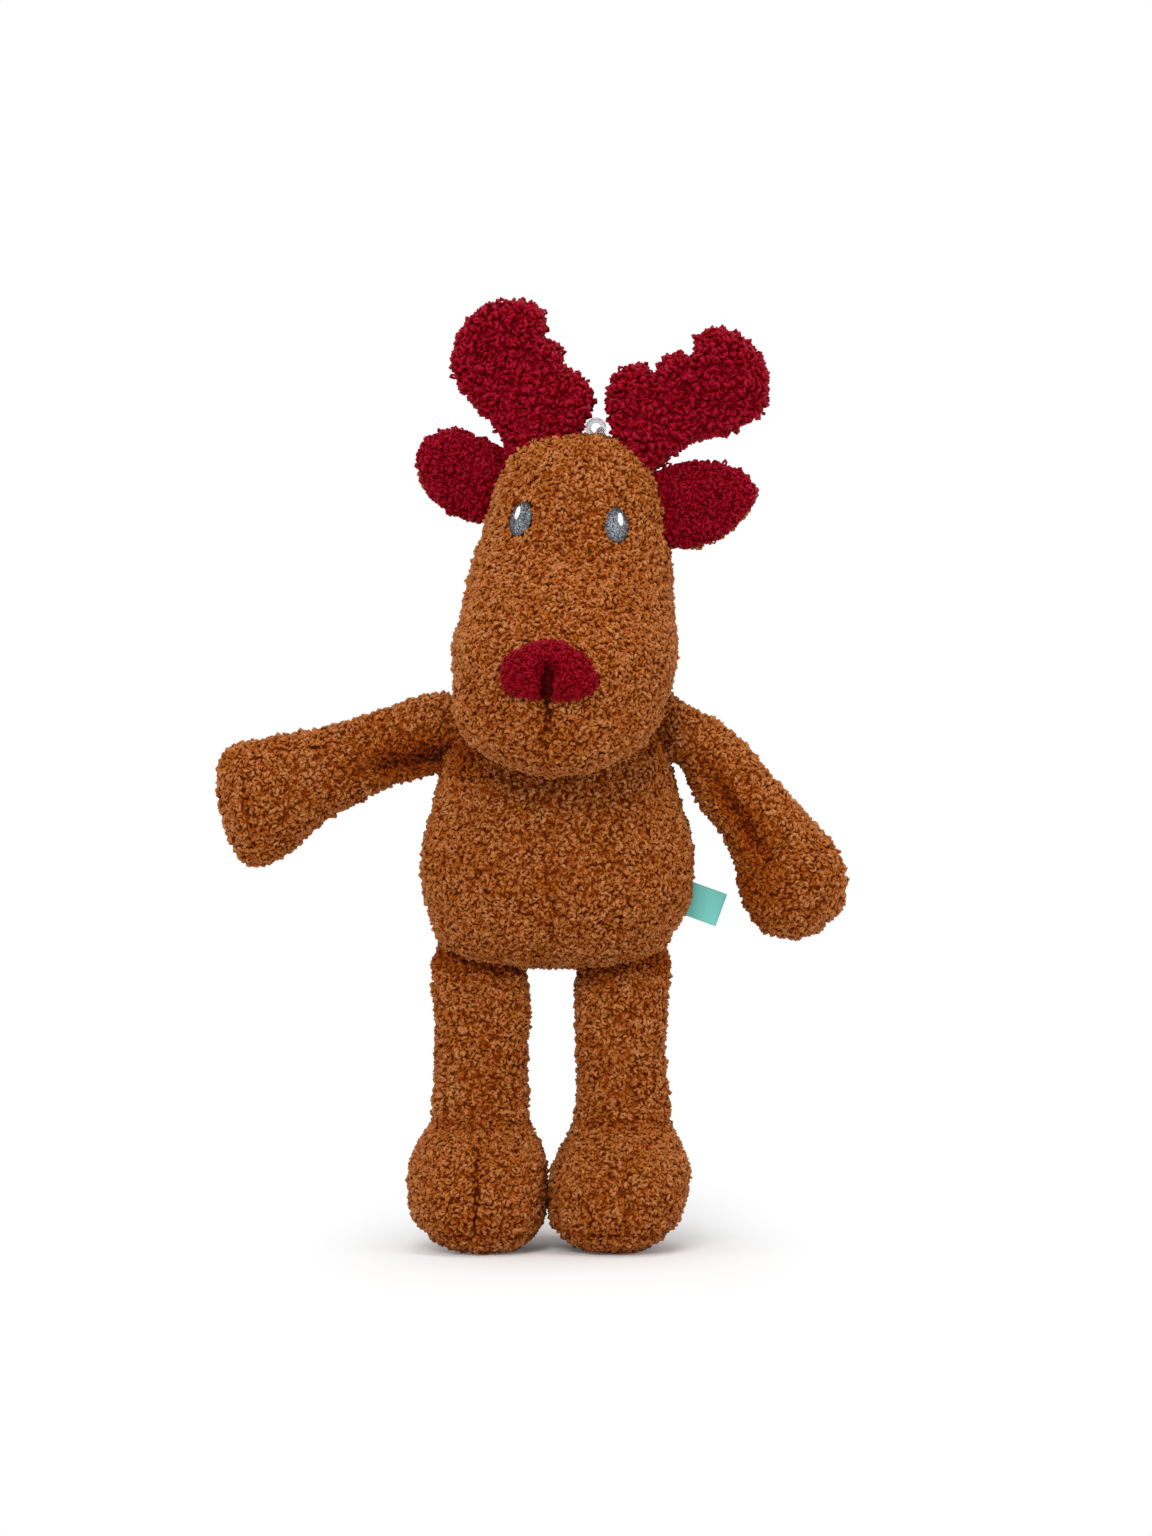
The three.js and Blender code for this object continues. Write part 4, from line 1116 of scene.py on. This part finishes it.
# Antlers, thick in the middle and thin at the rim
def build_antler(side, seed):
    outline = outline_points(ANTLER_OUTLINE_SHARES[side], ANTLER_LENGTH, ANTLER_LENGTH, 160)

    def shape(points):
        gaps = np.hypot(points[:, None, 0] - outline[:, 0], points[:, None, 2] - outline[:, 1])
        inside = np.clip(gaps.min(axis=1) / ANTLER_ROUNDING, 0, 1)
        thinned = points.copy()
        thinned[:, 1] *= ANTLER_RIM_SHARE + (1 - ANTLER_RIM_SHARE) * np.sqrt(1 - (1 - inside) ** 2)
        return thinned

    def seams(points):
        return 0.5 * near(points[:, 1], 1.0)

    nodes = [f"{side}_antler_{part}" for part in ("front", "back", "filling")]
    place = placed(f"{side}_antler_flop", *HEAD_TURNS)
    slab = prism(outline, ANTLER_DEPTH / 2)
    plush(f"{side}_antler_plush", f"{side}_antler", place, [slab], "wine_pile", nodes, seed,
          shape=shape, seams=seams, scale=1.15, shag=2.4, inset=1.25, smoothing=8)


# Arms
def build_arm(side, seed):
    sign = SIGNS[side]
    bag = Bag((ARM_LENGTH, ARM_WIDTH[side], ARM_DEPTH), ARM_SHARES[side], mirror=-sign)
    place = placed(f"{side}_shoulder", (sign * (90 + ARM_POSE[side]), "Y"))

    def shape(points):
        x, _, z = points.T
        if side == "right":
            folds = crease(x + 8.3 - 0.155 * z, z, width=3.6, ends=(-14, 32), soft=4, depth=5.5)
        else:
            folds = crease(x + 6.4 + 0.036 * z, z, width=3.4, ends=(26, 60), soft=5, depth=5.0)
            folds += crease(z - 62 - 0.35 * (x + 12), x, width=2.6, ends=(-22, 4), soft=2, depth=2.6)
        return pushed_back(points, folds * frontness(points, 5))

    def seams(points):
        x, y, z = points.T
        edge = 0.3 * near(y, SEAM_WIDTH)
        if side == "right":
            tip = crease(z - 83.7 + 0.212 * x, x, width=SEAM_WIDTH, ends=(-19, 13), soft=1, depth=0.6)
            edge += tip * (y < 0)
        return edge

    # Painted shade: along the right arm's armpit fold, and along the left arm's inner fold and on its palm
    # side
    def painted_shade(points):
        x, y, z = points.T
        if side == "right":
            return crease(x + 7 - 0.155 * z, z, width=7, ends=(-30, 30), soft=5) * (y < 0)
        inner = crease(x + 6.4 + 0.036 * z, z, width=4.4, ends=(20, 62), soft=5, depth=0.9)
        palm = 0.4 * between(x, -5, 40, 3) * between(z, 50, 84, 4)
        return np.clip(inner + palm, 0, 1) * (y < 4)

    nodes = [f"{side}_arm_{part}" for part in ("front_panel", "back_panel", "filling")]
    plush(f"{side}_arm_plush", f"{side}_arm", place, [bag.loft()], "brown_pile", nodes, seed,
          seams=seams, shape=shape, painted_shade=painted_shade)


# Legs
def build_leg(side, seed):
    sign = SIGNS[side]
    length = LEG_SIZE[0]
    shares = []
    for along, deep, ahead, right, left in LEG_SHARES:
        wide, aside = right if side == "right" else left
        shares.append((along, wide, deep, aside, ahead))
    bag = Bag(LEG_SIZE, shares, mirror=sign, base=-length)

    def shape(points):
        depth = 5.0 * between(points[:, 2], -6, 30, 2.2)
        return pushed_back(points, depth * frontness(points, 10))

    # Painted shade at the top of the leg under the belly, deeper on the inner side
    def painted_shade(points):
        x, y, z = points.T
        inner = 0.4 + 0.6 * rising(-sign * x, 4)
        return near(z - 1, 6) * inner * (y < 6)

    def seams(points):
        x, y, z = points.T
        height = z + length
        toe = crease(x - sign * TOE_ASIDE, height, width=1.35, ends=(SOLE_SEAM, TOE_SEAM), soft=2)
        toe = TOE_DEPTH[side] * toe * (y < 0)
        ankle = 0.45 * near(height - ANKLE, 1.5)
        sole = 0.55 * near(height - SOLE_SEAM, 1.3)
        side_seam = 0.35 * near(y, SEAM_WIDTH) * (height > ANKLE)
        return np.max([ankle, toe, sole, side_seam], axis=0)

    parts = ("leg_front_panel", "leg_back_panel", "foot_outer_panel", "foot_inner_panel", "sole",
             "leg_filling")
    nodes = [f"{side}_{part}" for part in parts]
    plush(f"{side}_leg_plush", f"{side}_leg", placed(f"{side}_hip"), [bag.loft()], "brown_pile", nodes,
          seed, seams=seams, shape=shape, painted_shade=painted_shade, floor=0.0001)


build_torso()
build_head()
build_nose()
build_label()
build_loop()
for index, side in enumerate(SIGNS):
    build_eye(side, 7 * index)
    build_ear(side, 400 + 500 * index)
    build_antler(side, 520 + 500 * index)
    build_arm(side, 620 + 500 * index)
    build_leg(side, 720 + 500 * index)


# Camera, floor and light, in metres
VIEW_HEIGHT = 0.6144  # of the picture, at the object
VIEW_MIDDLE = Vector((0.0205, 0.0, 0.1944))
CAMERA_DISTANCE = 2.4
CAMERA_RISE = math.radians(2.0)
SENSOR = 36.0  # millimetres
FLOOR_HALF = 6.0
FADE_MIDDLE = (0.015, -0.14, 0.0)
FADE_SHARES = (4.4, 0.9, 1.0)
FADE = (0.16, 0.5)  # where the floor starts and ends to turn white
LAMPS = (  # name, power, size and place
    ("key", 25.5, 0.9, (-0.45, -1.95, 1.5)),
    ("fill", 14.0, 1.2, (1.85, -1.15, 0.7)),
    ("side", 8.0, 1.2, (-2.0, -0.8, 0.6)),
    ("top", 14.0, 1.0, (0.1, -0.3, 2.0)),
)
LAMP_AIM = Vector((0, 0, 0.2))
PLAIN_WHITE = (1, 1, 1, 1)
WORLD_LIGHT = 0.34  # on dull surfaces, against 1 for the camera and in reflections


def build_camera():
    camera = linked("camera", bpy.data.cameras.new("camera"))
    back = Vector((0, -math.cos(CAMERA_RISE), math.sin(CAMERA_RISE)))
    camera.location = VIEW_MIDDLE + CAMERA_DISTANCE * back
    camera.rotation_euler = (math.pi / 2 - CAMERA_RISE, 0, 0)
    camera.data.sensor_width = SENSOR
    camera.data.lens = SENSOR * CAMERA_DISTANCE / VIEW_HEIGHT
    camera.data.clip_start = 0.05
    camera.data.clip_end = 50
    bpy.context.scene.camera = camera


def floor_material():
    """Pale paper that turns to plain white away from the object, for the camera alone."""
    material, tree = new_material("floor")
    place = node(tree, "NewGeometry").outputs["Position"]
    away = node(tree, "VectorMath", {0: place, 1: FADE_MIDDLE}, operation="SUBTRACT").outputs["Vector"]
    away = node(tree, "VectorMath", {0: away, 1: FADE_SHARES}, operation="MULTIPLY").outputs["Vector"]
    away = node(tree, "VectorMath", {0: away}, operation="LENGTH").outputs["Value"]
    far = node(tree, "MapRange", {"Value": away, 1: FADE[0], 2: FADE[1]}, interpolation_type="SMOOTHSTEP")
    paper = node(tree, "BsdfDiffuse", {"Color": (0.92, 0.915, 0.915, 1)}).outputs[0]
    glow = node(tree, "Emission", {"Color": PLAIN_WHITE, "Strength": 0.07}).outputs[0]
    both = node(tree, "AddShader", {0: paper, 1: glow}).outputs[0]
    white = node(tree, "Emission", {"Color": PLAIN_WHITE, "Strength": 1.0}).outputs[0]
    faded = node(tree, "MixShader", {0: far.outputs[0], 1: both, 2: white}).outputs[0]
    camera_ray = node(tree, "LightPath").outputs["Is Camera Ray"]
    return with_surface(material, "MixShader", {0: camera_ray, 1: paper, 2: faded})


def build_floor():
    corners = [(FLOOR_HALF * x, FLOOR_HALF * y, 0) for x, y in ((-1, -1), (1, -1), (1, 1), (-1, 1))]
    floor = linked("floor", new_mesh("floor", corners, [(0, 1, 2, 3)]))
    floor.data.materials.append(floor_material())


def build_light():
    world = bpy.data.worlds.new("studio")
    bpy.context.scene.world = world
    world.use_nodes = True
    tree = world.node_tree
    tree.nodes.clear()
    rays = node(tree, "LightPath").outputs
    seen = maths(tree, "MAXIMUM", rays["Is Camera Ray"], rays["Is Glossy Ray"])
    seen = maths(tree, "MAXIMUM", seen, rays["Is Transmission Ray"])
    strength = node(tree, "Mix", {0: seen, 2: WORLD_LIGHT, 3: 1.0}, data_type="FLOAT").outputs[0]
    background = node(tree, "Background", {"Color": PLAIN_WHITE, "Strength": strength})
    node(tree, "OutputWorld", {"Surface": background.outputs[0]})
    for name, power, size, place in LAMPS:
        lamp = linked(name, bpy.data.lights.new(name, "AREA"))
        lamp.data.energy = power
        lamp.data.size = size
        lamp.location = place
        lamp.rotation_euler = (LAMP_AIM - lamp.location).to_track_quat("-Z", "Y").to_euler()


build_camera()
build_floor()
build_light()
bpy.context.scene.view_settings.view_transform = "Standard"
